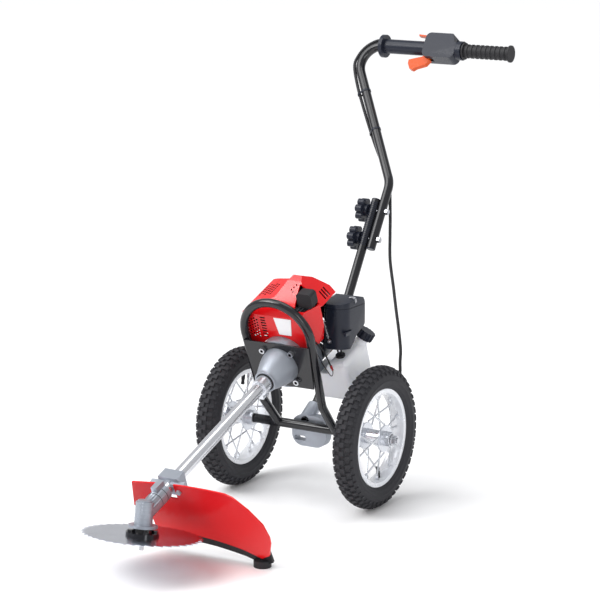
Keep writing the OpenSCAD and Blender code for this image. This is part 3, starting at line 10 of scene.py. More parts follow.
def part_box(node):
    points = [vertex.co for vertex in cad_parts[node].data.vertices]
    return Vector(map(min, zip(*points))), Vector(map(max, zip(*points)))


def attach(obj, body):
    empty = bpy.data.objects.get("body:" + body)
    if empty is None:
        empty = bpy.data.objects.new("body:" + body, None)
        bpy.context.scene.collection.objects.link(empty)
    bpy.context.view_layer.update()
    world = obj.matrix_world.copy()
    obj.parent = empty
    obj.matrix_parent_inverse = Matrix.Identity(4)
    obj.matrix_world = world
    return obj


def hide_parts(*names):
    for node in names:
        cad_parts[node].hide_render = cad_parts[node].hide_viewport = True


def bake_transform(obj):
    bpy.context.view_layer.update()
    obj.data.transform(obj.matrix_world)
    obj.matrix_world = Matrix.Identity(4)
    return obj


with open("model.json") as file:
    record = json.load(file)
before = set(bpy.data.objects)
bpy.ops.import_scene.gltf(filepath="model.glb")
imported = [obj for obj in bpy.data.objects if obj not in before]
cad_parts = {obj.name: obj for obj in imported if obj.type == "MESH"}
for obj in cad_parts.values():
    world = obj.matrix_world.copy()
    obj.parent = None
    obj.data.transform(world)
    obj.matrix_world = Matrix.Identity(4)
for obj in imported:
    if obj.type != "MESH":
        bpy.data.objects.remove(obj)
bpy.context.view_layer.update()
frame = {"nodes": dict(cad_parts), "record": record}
nodes = frame["nodes"]
record = frame["record"]
slot_of = {s["node"]: s["material_slot"] for s in record["subparts"]}
body_of = {n: b for b, ns in record["behaviour"]["bodies"].items() for n in ns}

# Units and counts used throughout
MM_IN_M = 1000.0
TURN = 360.0
HEX = 6

# Camera, fitted to the photo, in metres and degrees
AZIMUTH = 31.2166
PITCH = 12.2609
DISTANCE = 5.33757
TARGET = Vector((-0.01289, -0.00781, 0.46192))
LENS = 140.73
SENSOR_W = 36.0
FAR_CLIP = 60.0

# Sizes repeated from the construction source, in millimetres and degrees
TILT = 20.5
ENGINE = (0.0, -121.5, 330.0)
REACH = 567.0
SPINDLE_LEAN = 9.5
LEAN = 32.0
RISE = 31.5
RUN = 82.0
AXLE_Z = 165.0
TRACK = 363.0
HANDLE_D = 22.0
HANDLE_L = 914.0
NECK_R = 50.0
LAP_GAP = 0.4
LAP_BOTTOM = 388.0
LAP_TOP = 510.0
SLANT = 30.4
SLANT_Z = 557.0
CABLE_D = 8.0
CABLE_GAP = 2.2
BOX_Y = 92.0
BOX_Z = 12.0
BOX_L = 84.0
BOX_IN = 62.5
BOX_OUT = 122.0
STAY_SHARE = 0.66
STAY_X = 68.0
STAY_W = 12.0
STAY_L = 14.0
STAY_DROP = 26.0
FERRULE_D = 7.0
FERRULE_L = 30.0
TANK_TOP = -32.0
GROMMET = (90.0, 118.0)
WIRE_D = 4.0
BOLT_AT = 37.0
COVER_SPLIT_X = -50.0
COVER = (192.0, 120.0, 136.0)
COVER_FRONT = 33.0
COVER_BASE = 45.0
SPOKES = 20
SPOKE_TWIST = 36.0

# Cords: given routes, in millimetres unless a name says metres
CABLE_NECK_ANGLES = (96, 116, 140, 164, 188)
CABLE_ON_SLANT = (
    (30, 1, 0), (90, 1, 0.1), (160, 0.95, 0.45), (220, 0.8, 0.75), (265, 0.5, 1), (290, 0.1, 1.15),
)
CABLE_HANGING = (
    (26, 342, 612), (36, 324, 566), (50, 300, 509), (74, 274, 450), (95, 250, 402), (114, 230, 356),
    (127, 215, 317), (131, 206, 290), (131, 206, 262), (127.5, 202, 243), (118, 192, 229), (105, 178, 224),
    (92, 164, 229), (82.5, 154, 243), (79, 150, 262), (76, 146, 288), (71, 136, 316), (69, 127, 345),
    (68, 114, 374), (68, 95, 394), (68, 75, 400),
)
CABLE_AT_FERRULE = (1, 0.5)
CABLE_STEP_M = 0.00125
CABLE_RIB = 0.22
CABLE_RIB_PITCH = 5.0
FERRULE = ((0, 0), (FERRULE_D / 2, 0), (FERRULE_D / 2, 29), (2.9, 29.5), (0, 29.5))
FERRULE_NUT = ((0, 14.6), (6, 14.6), (6, 18.4), (5.4, 19), (0, 19))
STOP_WIRE = ((74, 56, 42), (84, 52, 36), (90, 57, 18), (90, 68, -16), (90, 76, -42))
RETURN_WIRE = (
    (90, 76, -42.8), (91.5, 72, -49.5), (92, 66, -51.5), (92, 60, -46), (91, 54, -32), (87, 47, -8),
    (80, 48, 10), (68, 55.5, 20), (51.2, 64, 22),
)
WIRE_STEP_M = 0.002
WIRE_PLUG = ((0, 0), (2.3, 0), (2.9, 2), (2.9, 10), (2.4, 11), (2.4, 15.5), (1.9, 16.4), (0, 16.4))
WIRE_PLUG_LAP = 15.5
WIRE_PLUG_SIDES = 20
WIRE_PLUG_AIM = -4
ROPE_ENDS = ((-54, 125.1, 24), (-73, 125.1, 24))
ROPE_R = 1.7
ROPE_SIDES = 10
ROPE_STEP_M = 0.0004

# Rounded edges of the CAD pieces, in millimetres
EDGES = {
    "rim_left": 0.8, "rim_right": 0.8, "hub_left": 0.8, "hub_right": 0.8,
    "engine_plate": 0.8, "plate_bolts": 0.7, "handle_socket": 2.5, "upper_knob": 2.0, "lower_knob": 2.0,
    "clutch_housing": 0.8, "rubber_ring": 0.8, "tube_collar": 0.9, "gear_head": 1.4, "blade_holder": 0.7,
    "blade_cup": 0.7, "blade_nut": 0.6, "guard": 0.9, "guard_skirt": 1.2, "guard_clamp": 1.2,
    "crankcase": 1.2, "muffler": 1.5, "spark_cap": 2.5, "fuel_tank": 4.0, "fuel_cap": 0.9,
    "starter_cover": 1.5, "starter_handle": 2.0, "choke_lever": 0.8, "trigger": 1.8, "lock_lever": 1.2,
    "stop_switch": 1.6, "rubber_grip": 0.9, "axle_nuts": 0.6,
}
EDGE_SEGMENTS = 2
EDGE_ANGLE = 32.0
FLAT_ANGLE = 0.6
WELD_M = 2e-6
BROAD_SEGMENTS = 5
BROAD_ANGLE = 9.0
BROAD_LENGTH_M = 0.012
BROAD_FACE_M = 0.007

# Red covers: outlines as shares of their width, length and height
COVER_FROM_FRONT = (
    (-0.52, -0.08), (-0.52, 0.46), (-0.38, 0.64), (-0.28, 0.68), (-0.08, 0.74), (0.05, 0.96), (0.1, 1),
    (0.2, 1), (0.3, 0.84), (0.46, 0.54), (0.46, 0.28), (0.4, -0.08),
)
COVER_FROM_SIDE = (
    (0, -0.08), (0, 0.5), (0.18, 0.7), (0.5, 0.96), (0.62, 1), (0.8, 0.9), (1, 0.66), (1, -0.08),
)
COVER_FROM_TOP = ((-0.52, 0.2), (-0.47, 0), (0.33, 0), (0.46, 0.5), (0.46, 1), (-0.52, 1))
COVER_WALL = 3.0
COVER_SEAM = 0.4
COVER_EDGE = 0.5
COVER_BROAD_EDGE = 5.0
OVERRUN = 1.0
FAR = 200.0
BELOW = -100.0
BEYOND = 300.0
FAN_CASE_R = 61.6
FAN_CASE_Y = (0, 160)
FAN_CASE_SIDES = 64
BOX_OPENING = ((56.5, FAR), (86, FAR), (-40, 118))
CAP_OPENING = ((42, FAR), (20, 88), (125, FAR))
SLOT_COUNT = 3
SLOT_PITCH = 9.0
SLOT = ((71, 85), (112, 116), (100, 200))
LOUVRE_COUNT = 8
LOUVRE_PITCH = 6.9
LOUVRE = ((-46, -33), (20, 60), (56, 59.4))
TOP_DOTS = {
    "start": (-67, 80), "pitch": (7.4, 8), "count": (5, 6), "r": 2.5, "axis": "z", "span": (115, 160),
}
FRONT_DOTS = {
    "start": (-83, 55), "pitch": (6.8, 7.2), "count": (5, 7), "r": 2.3, "axis": "y", "span": (20, 62),
}
HUMP_DOTS = ((24, 161), (29, 165), (34, 169), (29, 158))
HUMP_DOT_R = 1.6
HUMP_SPAN = (60, 100)
PLATE_X = 14.0
PLATE_Z = (67.0, 110.0)
PLATE_HALF_W = (16.0, 23.0)
PLATE_OUT = 1.2
PLATE_IN = 0.5
PLATE_EDGE = 0.6
PLATE_EDGE_ANGLE = 30.0

# Air box and throttle housing, in the box's and the bar's directions
BOX_BACK = 112.0
BOX_SIDE = (
    (0, -8), (0, 95), (65.5, 106), (86, 101), (104, 80), (112, 58), (110, 46), (100, 40), (60, 20), (30, -8),
)
BOX_INNER_R = 18.0
BOX_FRONT_R = 28.0
BOX_BACK_R = 24.0
BOX_EASE = 5.0
BOX_EASE_SEGMENTS = 4
BOX_EASE_ANGLE = 16.0
BOX_EDGE = 0.4
CORNER_STEPS = 16
LID_Z = 84.0
LID_GROOVE = 1.4
LID_GROOVE_H = 1.6
LID_CORE_Z = (70, 100)
STAY_H = 46.0
STAY_BORE_GAP = 0.1
STAY_BORE_SIDES = 24
STAY_BORE_BEFORE = 5.0
STAY_BORE_PAST = 30.0
HOUSING_SHOULDER = ((178, 60), (202.9, 60), (202.9, 12), (196, 15))
HOUSING_DEPTH = 60.0
HOUSING_EDGE = 2.4

# Painted faces: the grommet's black rubber, and near-black painted shade in the bolts' sockets
GROMMET_R = 11.5
GROMMET_LIFT = 0.05
SOCKET_R = 4.3
SOCKET_Y = (-0.2, 5.0)

# Wheels
SPOKE_INNER = (32.9, 24.0)
SPOKE_OUTER = (99.2, 4.0)
NIPPLE = ((0, 0.6), (3.3, 0.6), (3.3, 9), (2.5, 11), (0, 11))
NIPPLE_SIDES = 14
CARCASS_R = 133.5
CARCASS_D = 53.0
CARCASS_SECTION = 138
CARCASS_STEP = 3
CARCASS_SIDES = 96
SIDEWALL_RINGS = ((93, 99), (117, 120))
SIDEWALL_RING = 0.9
SIDEWALL_DIP = (70, 90)
SIDEWALL_DIP_DEPTH = 0.6
TREAD_COUNT = 50
TREAD_ROWS = (
    (-10, 0, 11, 12, 4.3), (10, 0.5, 11, 12, 4.3), (-35, 0.5, 11, 10, 4.4), (35, 0, 11, 10, 4.4),
    (-57, 0, 8, 7, 2.8), (57, 0.5, 8, 7, 2.8),
)
TREAD_ROOT = 2.5
TREAD_EASE = 0.9
TREAD_SHARES = (1.0, 0.94, 0.8)
TYRE_CREASE = 40.0
RIM_WELL_R = 100.0
VALVE_LAP = 0.4
VALVE_SIDES = 18
VALVE = ((0, 0), (4.5, 0), (4.5, 14), (3.8, 15), (3.8, 20), (4.3, 20.6), (4.3, 25), (3.6, 26), (0, 26))

# Gear head, handle tubes and cable ties
RIDGE_ROOT_R = 18.6
RIDGE_SIDES = 40
HEAD_RING_R = 19.5
HEAD_RING_HALF = (1.3, 0.9)
HEAD_RINGS = (-19, -11, -3, 5, 13, 20)
SEAM_R = 19.35
SEAM_HALF = (0.7, 0.5)
SEAM_FROM = 78.0
SEAMS = (14, 34)
RIB_PITCH = 4.5
RIB_START = 4.0
RIB_MARGIN = 6.0
RIB_ANGLES = range(-60, 61, 10)
RIB = ((10.8, 0), (11.9, 0.5), (11.9, 2.3), (10.8, 2.8))
TUBE_PLUG = ((0, -4), (9, -4), (9, 0), (10.9, 0), (10.9, 1.6), (9.6, 2.8), (0, 3.2))
TIE_PLACES = (58, 172)
TIE_W = 5.0
TIE_T = 1.1
TIE_BAR_GAP = 0.15
TIE_CABLE_GAP = 0.2
TIE_STEPS = (14, 10)
TIE_NEARNESS = 0.001

# Fittings on the air box and the tank
CLIP_Y = 50.0
CLIP_LINE = ((106, 0.2), (112, 1.4), (118, 1.2), (121.6, -1.5), (122.6, -6), (123.4, -9))
CLIP_ACROSS_M = Vector((0, 0.007, 0.002))
CLIP_T = 0.9
CLIP_RIVET = ((0, 0), (2.2, 0), (2.2, 1.6), (1.6, 2.1), (0, 2.1))
CLIP_RIVET_AT = (108.5, 0.6)
CLIP_RIVET_WAY = (0, -0.27, 0.96)
CLIP_RIVET_SIDES = 16
SPRING_ENDS = ((72, 62), (86, 22))
SPRING_STUD = ((0, -1), (1.8, -1), (1.8, 5.5), (3.4, 5.5), (3.4, 7.6), (2.8, 8.2), (0, 8.2))
SPRING_LIFT = 4.2
SPRING_TURNS = 17
SPRING_STEPS = 12
SPRING_R = 2.4
SPRING_WIRE_R = 0.55
SPRING_WIRE_SIDES = 6
SPRING_CREASE = 50.0
SPRING_FROM = 0.1
SPRING_SPAN = 0.72
SPRING_HOOK = (0.02, 0.06, 0.86, 0.9)
SPRING_HOOK_OUT = 0.8
SPRING_EYE = ((3.1, -0.6), (5.4, -0.6), (5.6, 0), (5.4, 0.6), (3.1, 0.6))
STEM_SHIFTS = (-4.5, 4.5)
STEM_START = 4.0
STEM_STEP_M = 0.001
STEM_FOOT = (3.0, 2.6)
STEM_R = 2.1
STEM_RIPPLE = 0.15
STEM_RIPPLE_RATE = 2.0
STEM_SIDES = 14


# Places

def cosd(a):
    return math.cos(math.radians(a))


def sind(a):
    return math.sin(math.radians(a))


def engine_point(p):
    """A point in the engine's directions, in millimetres, as metres in the frame."""
    y, z = p[1], p[2]
    return Vector((
        p[0],
        ENGINE[1] + y * cosd(TILT) - z * sind(TILT),
        ENGINE[2] + y * sind(TILT) + z * cosd(TILT),
    )) / MM_IN_M


def engine_way(p):
    """A direction given in the engine's directions."""
    return Vector((p[0], p[1] * cosd(TILT) - p[2] * sind(TILT), p[1] * sind(TILT) + p[2] * cosd(TILT)))


def to_engine(v):
    """A point of the frame, in metres, as millimetres in the engine's directions."""
    y = v.y * MM_IN_M - ENGINE[1]
    z = v.z * MM_IN_M - ENGINE[2]
    return Vector((v.x * MM_IN_M, y * cosd(TILT) + z * sind(TILT), -y * sind(TILT) + z * cosd(TILT)))


def box_point(p):
    """A point in the air box's directions, in millimetres, as metres in the frame."""
    return engine_point((0, BOX_Y, BOX_Z)) + Vector(p) / MM_IN_M


def handle_point(p):
    """A point in the handle's directions, in millimetres, as metres in the frame."""
    y, z = p[1], p[2]
    return Vector((
        p[0],
        RUN * cosd(RISE) + y * cosd(LEAN) + z * sind(LEAN),
        AXLE_Z + RUN * sind(RISE) - y * sind(LEAN) + z * cosd(LEAN),
    )) / MM_IN_M


upper_x = (HANDLE_D + LAP_GAP) / 2
neck_z = HANDLE_L - NECK_R
slant_l = (neck_z - NECK_R * sind(SLANT) - SLANT_Z) / cosd(SLANT)
neck_x = upper_x - slant_l * sind(SLANT) + NECK_R * cosd(SLANT)
stay_y = BOX_Y + BOX_L * STAY_SHARE
stay_z = BOX_Z - STAY_DROP + STAY_W


def bar_point(p):
    """A point in the grip bar's directions, in millimetres, as metres in the frame."""
    return handle_point((neck_x + p[0], p[1], HANDLE_L + p[2]))


def wheel_point(side, x, y, h):
    """A point of a wheel, in millimetres in the wheel's own directions, as metres in the frame."""
    return Vector((side * (TRACK / 2 + h), y, AXLE_Z - side * x)) / MM_IN_M


# Camera

def added(name, data):
    """A new object in the scene."""
    obj = bpy.data.objects.new(name, data)
    bpy.context.scene.collection.objects.link(obj)
    return obj


def photo_camera():
    """The camera at the photo's angle and distance."""
    back = Vector((sind(AZIMUTH) * cosd(PITCH), -cosd(AZIMUTH) * cosd(PITCH), sind(PITCH)))
    data = bpy.data.cameras.new("photo_camera")
    data.lens = LENS
    data.sensor_width = SENSOR_W
    data.clip_end = FAR_CLIP
    camera = added("photo_camera", data)
    camera.location = TARGET + back * DISTANCE
    camera.rotation_euler = back.to_track_quat("Z", "Y").to_euler()
    bpy.context.scene.camera = camera


photo_camera()
bpy.context.scene.view_settings.view_transform = "Standard"


# Materials

def shader(name):
    """A new material with its node tree and its shader node."""
    m = bpy.data.materials.new(name)
    m.use_nodes = True
    tree = m.node_tree
    return m, tree, tree.nodes["Principled BSDF"]


def object_coords(tree, scale):
    """The object's own coordinates, stretched."""
    coord = tree.nodes.new("ShaderNodeTexCoord")
    mapping = tree.nodes.new("ShaderNodeMapping")
    mapping.inputs["Scale"].default_value = scale
    tree.links.new(coord.outputs["Object"], mapping.inputs["Vector"])
    return mapping.outputs["Vector"]


def noise(tree, vector, scale, detail=3.0, roughness=0.55):
    n = tree.nodes.new("ShaderNodeTexNoise")
    n.inputs["Scale"].default_value = scale
    n.inputs["Detail"].default_value = detail
    n.inputs["Roughness"].default_value = roughness
    tree.links.new(vector, n.inputs["Vector"])
    return n.outputs["Fac"]


def remap(tree, value, low, high, start=0.3, stop=0.7):
    """A value between start and stop, spread from low to high."""
    r = tree.nodes.new("ShaderNodeMapRange")
    r.inputs["From Min"].default_value = start
    r.inputs["From Max"].default_value = stop
    r.inputs["To Min"].default_value = low
    r.inputs["To Max"].default_value = high
    tree.links.new(value, r.inputs["Value"])
    return r.outputs["Result"]


def mix(tree, fac, a, b):
    m = tree.nodes.new("ShaderNodeMix")
    m.data_type = "RGBA"
    m.inputs["A"].default_value = (*a, 1)
    m.inputs["B"].default_value = (*b, 1)
    tree.links.new(fac, m.inputs["Factor"])
    return m.outputs["Result"]


def bump(tree, height, strength, distance):
    b = tree.nodes.new("ShaderNodeBump")
    b.inputs["Strength"].default_value = strength
    b.inputs["Distance"].default_value = distance
    tree.links.new(height, b.inputs["Height"])
    return b.outputs["Normal"]


PATCH_DETAIL = 4.0
GRAIN_DETAIL = 2.0
GRAIN_DEPTH_M = 0.0004
COAT_ROUGHNESS = 0.1


def finish_of(
    name, colour, shade, rough, grain, relief, metal=0.0, coat=0.0, spec=0.5, patch=9.0, stretch=(1, 1, 1),
):
    """A surface with soft patches of a second shade, uneven gloss and a fine grain."""
    m, tree, p = shader(name)
    vector = object_coords(tree, stretch)
    wide = noise(tree, vector, patch, PATCH_DETAIL)
    fine = noise(tree, vector, grain, GRAIN_DETAIL)
    tree.links.new(mix(tree, remap(tree, wide, 0, 1), colour, shade), p.inputs["Base Color"])
    tree.links.new(remap(tree, wide, rough[0], rough[1]), p.inputs["Roughness"])
    tree.links.new(bump(tree, fine, relief, GRAIN_DEPTH_M), p.inputs["Normal"])
    p.inputs["Metallic"].default_value = metal
    p.inputs["Coat Weight"].default_value = coat
    p.inputs["Coat Roughness"].default_value = COAT_ROUGHNESS
    p.inputs["Specular IOR Level"].default_value = spec
    return m


FINISHES = {
    "tyre_rubber": {
        "colour": (0.018, 0.018, 0.023), "shade": (0.03, 0.03, 0.034), "rough": (0.55, 0.75),
        "grain": 900, "relief": 0.35, "spec": 0.35,
    },
    "rim_paint": {
        "colour": (0.86, 0.87, 0.9), "shade": (0.76, 0.78, 0.82), "rough": (0.2, 0.32),
        "grain": 500, "relief": 0.05, "metal": 0.35, "coat": 0.2,
    },
    "hub_metal": {
        "colour": (0.72, 0.74, 0.78), "shade": (0.58, 0.6, 0.65), "rough": (0.22, 0.38),
        "grain": 700, "relief": 0.12, "metal": 0.85,
    },
    "spoke_wire": {
        "colour": (0.76, 0.78, 0.81), "shade": (0.6, 0.62, 0.66), "rough": (0.18, 0.3),
        "grain": 600, "relief": 0.05, "metal": 0.9,
    },
    "plain_steel": {
        "colour": (0.6, 0.61, 0.64), "shade": (0.46, 0.47, 0.5), "rough": (0.2, 0.36),
        "grain": 800, "relief": 0.1, "metal": 0.95,
    },
    "black_paint": {
        "colour": (0.006, 0.006, 0.008), "shade": (0.01, 0.01, 0.013), "rough": (0.12, 0.2),
        "grain": 260, "relief": 0.03, "coat": 0.25, "spec": 0.4,
    },
    "cast_grey": {
        "colour": (0.4, 0.43, 0.48), "shade": (0.31, 0.335, 0.38), "rough": (0.34, 0.5),
        "grain": 1100, "relief": 0.4, "metal": 0.65,
    },
    "black_plastic": {
        "colour": (0.012, 0.015, 0.025), "shade": (0.018, 0.021, 0.034), "rough": (0.26, 0.38),
        "grain": 1500, "relief": 0.22, "spec": 0.26,
    },
    "black_rubber": {
        "colour": (0.011, 0.011, 0.013), "shade": (0.02, 0.02, 0.023), "rough": (0.5, 0.66),
        "grain": 1300, "relief": 0.3, "spec": 0.35,
    },
    "shaft_alloy": {
        "colour": (0.82, 0.83, 0.86), "shade": (0.7, 0.71, 0.75), "rough": (0.16, 0.26),
        "grain": 420, "relief": 0.06, "metal": 0.9, "stretch": (3, 0.4, 0.8),
    },
    "red_plastic": {
        "colour": (0.74, 0.006, 0.009), "shade": (0.66, 0.004, 0.007), "rough": (0.18, 0.27),
        "grain": 420, "relief": 0.03, "coat": 0.12, "spec": 0.4,
    },
    "muffler_steel": {
        "colour": (0.2, 0.2, 0.21), "shade": (0.13, 0.12, 0.115), "rough": (0.45, 0.66),
        "grain": 700, "relief": 0.3, "metal": 0.6,
    },
    "tank_plastic": {
        "colour": (0.93, 0.94, 0.97), "shade": (0.87, 0.885, 0.94), "rough": (0.3, 0.42),
        "grain": 900, "relief": 0.08,
    },
    "orange_plastic": {
        "colour": (0.62, 0.075, 0.003), "shade": (0.56, 0.066, 0.002), "rough": (0.26, 0.38),
        "grain": 900, "relief": 0.08, "spec": 0.25,
    },
    "wire_sheath": {
        "colour": (0.42, 0.006, 0.01), "shade": (0.32, 0.004, 0.008), "rough": (0.32, 0.46),
        "grain": 900, "relief": 0.1,
    },
    "label": {
        "colour": (0.88, 0.88, 0.89), "shade": (0.82, 0.82, 0.84), "rough": (0.3, 0.42),
        "grain": 700, "relief": 0.05,
    },
    # Near-black painted shade for hollows: the covers' insides, the walls of their vents and the bolts'
    # sockets; the neck seams also take this near-black
    "seam_black_and_painted_shade": {
        "colour": (0.004, 0.004, 0.005), "shade": (0.007, 0.007, 0.008), "rough": (0.6, 0.8),
        "grain": 900, "relief": 0.1, "spec": 0.1,
    },
    "pale_floor": {
        "colour": (0.965, 0.965, 0.97), "shade": (0.95, 0.95, 0.955), "rough": (0.7, 0.85),
        "grain": 40, "relief": 0.02, "patch": 0.6,
    },
}
TANK_GLOW = 0.25
TANK_GLOW_M = (0.01, 0.01, 0.012)
materials = {name: finish_of(name, **look) for name, look in FINISHES.items()}
tank_shader = materials["tank_plastic"].node_tree.nodes["Principled BSDF"]
tank_shader.inputs["Subsurface Weight"].default_value = TANK_GLOW
tank_shader.inputs["Subsurface Radius"].default_value = TANK_GLOW_M

BLADE_COLOUR = (0.62, 0.64, 0.71)
BLADE_SHADE = (0.5, 0.52, 0.59)
BLADE_ROUGH = (0.1, 0.2)
BLADE_PATCH = 14.0
BLADE_RINGS = 190.0
BLADE_RING_WOBBLE = 1.2
BLADE_RING_DETAIL = 3.0
BLADE_RELIEF = 0.05
BLADE_RELIEF_M = 0.0002


def blade_finish():
    """Polished steel with fine grinding rings about the blade's axis."""
    m, tree, p = shader("blade_steel")
    low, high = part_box("saw_blade")
    coord = tree.nodes.new("ShaderNodeTexCoord")
    move = tree.nodes.new("ShaderNodeVectorMath")
    move.operation = "SUBTRACT"
    move.inputs[1].default_value = [(a + b) / 2 for a, b in zip(low, high)]
    tree.links.new(coord.outputs["Object"], move.inputs[0])
    rings = tree.nodes.new("ShaderNodeTexWave")
    rings.wave_type = "RINGS"
    rings.rings_direction = "SPHERICAL"
    rings.inputs["Scale"].default_value = BLADE_RINGS
    rings.inputs["Distortion"].default_value = BLADE_RING_WOBBLE
    rings.inputs["Detail"].default_value = BLADE_RING_DETAIL
    tree.links.new(move.outputs["Vector"], rings.inputs["Vector"])
    wide = noise(tree, move.outputs["Vector"], BLADE_PATCH)
    tree.links.new(mix(tree, remap(tree, wide, 0, 1), BLADE_COLOUR, BLADE_SHADE), p.inputs["Base Color"])
    tree.links.new(remap(tree, rings.outputs["Fac"], *BLADE_ROUGH, 0.0, 1.0), p.inputs["Roughness"])
    tree.links.new(bump(tree, rings.outputs["Fac"], BLADE_RELIEF, BLADE_RELIEF_M), p.inputs["Normal"])
    p.inputs["Metallic"].default_value = 1.0
    return m


materials["blade_steel"] = blade_finish()


# Mesh helpers

PIECE_WELD_M = 1e-7
CREASE = 35.0
SOFT_CREASE = 60.0


def gathered(name, parts, weld=0.0):
    """One mesh of several lists of points and faces; points nearer than weld, in metres, are joined."""
    mesh = bpy.data.meshes.new(name)
    verts, faces = [], []
    for part_verts, part_faces in parts:
        start = len(verts)
        verts += [tuple(v) for v in part_verts]
        faces += [tuple(i + start for i in f) for f in part_faces]
    mesh.from_pydata(verts, [], faces)
    bm = bmesh.new()
    bm.from_mesh(mesh)
    if weld:
        bmesh.ops.remove_doubles(bm, verts=bm.verts, dist=weld)
    bmesh.ops.recalc_face_normals(bm, faces=bm.faces)
    bm.to_mesh(mesh)
    bm.free()
    return mesh


def piece(name, parts, material, body, crease=CREASE):
    """One object of several lists of points and faces, riding on a body; no body leaves it free."""
    mesh = gathered(name, parts, PIECE_WELD_M)
    mesh.shade_smooth()
    mesh.set_sharp_from_angle(angle=math.radians(crease))
    mesh.materials.append(materials[material])
    obj = added(name, mesh)
    if body:
        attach(obj, body)
    return obj


def net(rows, across, closed=True):
    """Faces between rows of points, each row a closed loop; closed joins the last row to the first."""
    return [
        (k * across + i, k * across + (i + 1) % across,
         (k + 1) % rows * across + (i + 1) % across, (k + 1) % rows * across + i)
        for k in range(rows if closed else rows - 1) for i in range(across)
    ]


def lids(rows, across):
    """The two end faces of a bar of rows of points."""
    return [tuple(range(across)), tuple(range((rows - 1) * across, rows * across))]


def bar_faces(rows, across):
    """All faces of a solid bar of rows of points."""
    return net(rows, across, closed=False) + lids(rows, across)


def fan(u, v, count):
    """Directions at even angles, from u round by v."""
    return [u * cosd(k * TURN / count) + v * sind(k * TURN / count) for k in range(count)]


def lathe(profile, origin, axis, sides=28):
    """A closed loop of (radius, height) pairs, in millimetres, turned about an axis."""
    axis = Vector(axis).normalized()
    u = axis.orthogonal().normalized()
    verts = [
        origin + (axis * h + way * r) / MM_IN_M
        for way in fan(u, axis.cross(u), sides) for r, h in profile
    ]
    return verts, net(sides, len(profile))


def swept(points, radius, sides=12):
    """A round bar along points in metres; radius gives millimetres at each length along the line."""
    n = len(points)
    ways = [(points[min(i + 1, n - 1)] - points[max(i - 1, 0)]).normalized() for i in range(n)]
    side = ways[0].orthogonal().normalized()
    along, verts = 0.0, []
    for i in range(n):
        side = (side - ways[i] * side.dot(ways[i])).normalized()
        along += (points[i] - points[i - 1]).length if i else 0.0
        r = radius(along * MM_IN_M) / MM_IN_M
        verts += [points[i] + way * r for way in fan(side, ways[i].cross(side), sides)]
    return verts, bar_faces(n, sides)


def curve_points(points, steps=8):
    """A smooth line through points."""
    out = []
    n = len(points)
    for i in range(n - 1):
        a, b, c, d = points[max(i - 1, 0)], points[i], points[i + 1], points[min(i + 2, n - 1)]
        for k in range(steps):
            t = k / steps
            out.append((2 * b + (c - a) * t + (2 * a - 5 * b + 4 * c - d) * t * t
                        + (3 * b - a - 3 * c + d) * t * t * t) / 2)
    out.append(points[-1])
    return out


def spaced(points, step):
    """The same line with points at an even distance, in metres."""
    out, left = [points[0]], step
    for a, b in zip(points, points[1:]):
        gap = (b - a).length
        done = 0.0
        while gap - done >= left:
            done += left
            out.append(a + (b - a) * (done / gap))
            left = step
        left -= gap - done
    out.append(points[-1])
    return out


def prism(outline, axis, start, stop, place=engine_point):
    """A closed mesh: an outline in two directions of a place, pushed along the third from start to stop."""
    verts = []
    for t in (start, stop):
        for a, b in outline:
            verts.append(place({"x": (t, a, b), "y": (a, t, b), "z": (a, b, t)}[axis]))
    n = len(outline)
    return verts, lids(2, n) + net(2, n, closed=False)


def circle(x, y, r, sides=12):
    return [(x + r * cosd(k * TURN / sides), y + r * sind(k * TURN / sides)) for k in range(sides)]


def block(x, y, z):
    """A box in the engine's directions between pairs of limits."""
    return prism([(x[0], z[0]), (x[1], z[0]), (x[1], z[1]), (x[0], z[1])], "y", y[0], y[1])


# Cords: the throttle cable and the two stop wires

def cable_points():
    """The cable's route: round the neck, down the slanting tube, hanging in a loop, up to its ferrule."""
    off = (HANDLE_D + CABLE_D) / 2 + CABLE_GAP
    round_neck = NECK_R + off
    route = [handle_point((neck_x + round_neck * cosd(a), 0, neck_z + round_neck * sind(a)))
             for a in CABLE_NECK_ANGLES]
    for q, side, behind in CABLE_ON_SLANT:
        route.append(handle_point((
            upper_x - (slant_l - q) * sind(SLANT) - off * side * cosd(SLANT),
            off * behind,
            SLANT_Z + (slant_l - q) * cosd(SLANT) - off * side * sind(SLANT),
        )))
    route += [Vector(p) / MM_IN_M for p in CABLE_HANGING]
    for share in CABLE_AT_FERRULE:
        route.append(engine_point((STAY_X, stay_y + STAY_L + share * FERRULE_L, stay_z)))
    return spaced(curve_points(route), CABLE_STEP_M)


def ribbed(s):
    """The conduit's radius at a length along it."""
    return CABLE_D / 2 - CABLE_RIB + CABLE_RIB * math.sin(2 * math.pi * s / CABLE_RIB_PITCH)


cable_line = cable_points()
cable = piece(
    "throttle_cable_look", [swept(cable_line, ribbed)], "black_rubber", "frame", SOFT_CREASE
)
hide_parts("throttle_cable")
ferrule_start = engine_point((STAY_X, stay_y, stay_z))
ferrule_way = engine_way((0, 1, 0))
ferrule = piece(
    "cable_ferrule",
    [lathe(FERRULE, ferrule_start, ferrule_way), lathe(FERRULE_NUT, ferrule_start, ferrule_way, HEX)],
    "plain_steel", "frame",
)

wire_line = spaced(curve_points([engine_point(p) for p in STOP_WIRE]), WIRE_STEP_M)
wire = piece(
    "stop_wire_look", [swept(wire_line, lambda s: WIRE_D / 2)], "black_rubber", "frame",
    SOFT_CREASE,
)
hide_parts("stop_wires")
plug_way = wire_line[-1] - wire_line[WIRE_PLUG_AIM]
plug_start = wire_line[-1] - plug_way.normalized() * (WIRE_PLUG_LAP / MM_IN_M)
plug_form = lathe(WIRE_PLUG, plug_start, plug_way, WIRE_PLUG_SIDES)
plug = piece("wire_plug", [plug_form], "wire_sheath", "frame")
return_line = spaced(curve_points([engine_point(p) for p in RETURN_WIRE]), WIRE_STEP_M)
return_wire = piece(
    "return_wire_look", [swept(return_line, lambda s: WIRE_D / 4)], "black_rubber", "frame",
    SOFT_CREASE,
)


# CAD pieces with their edges rounded

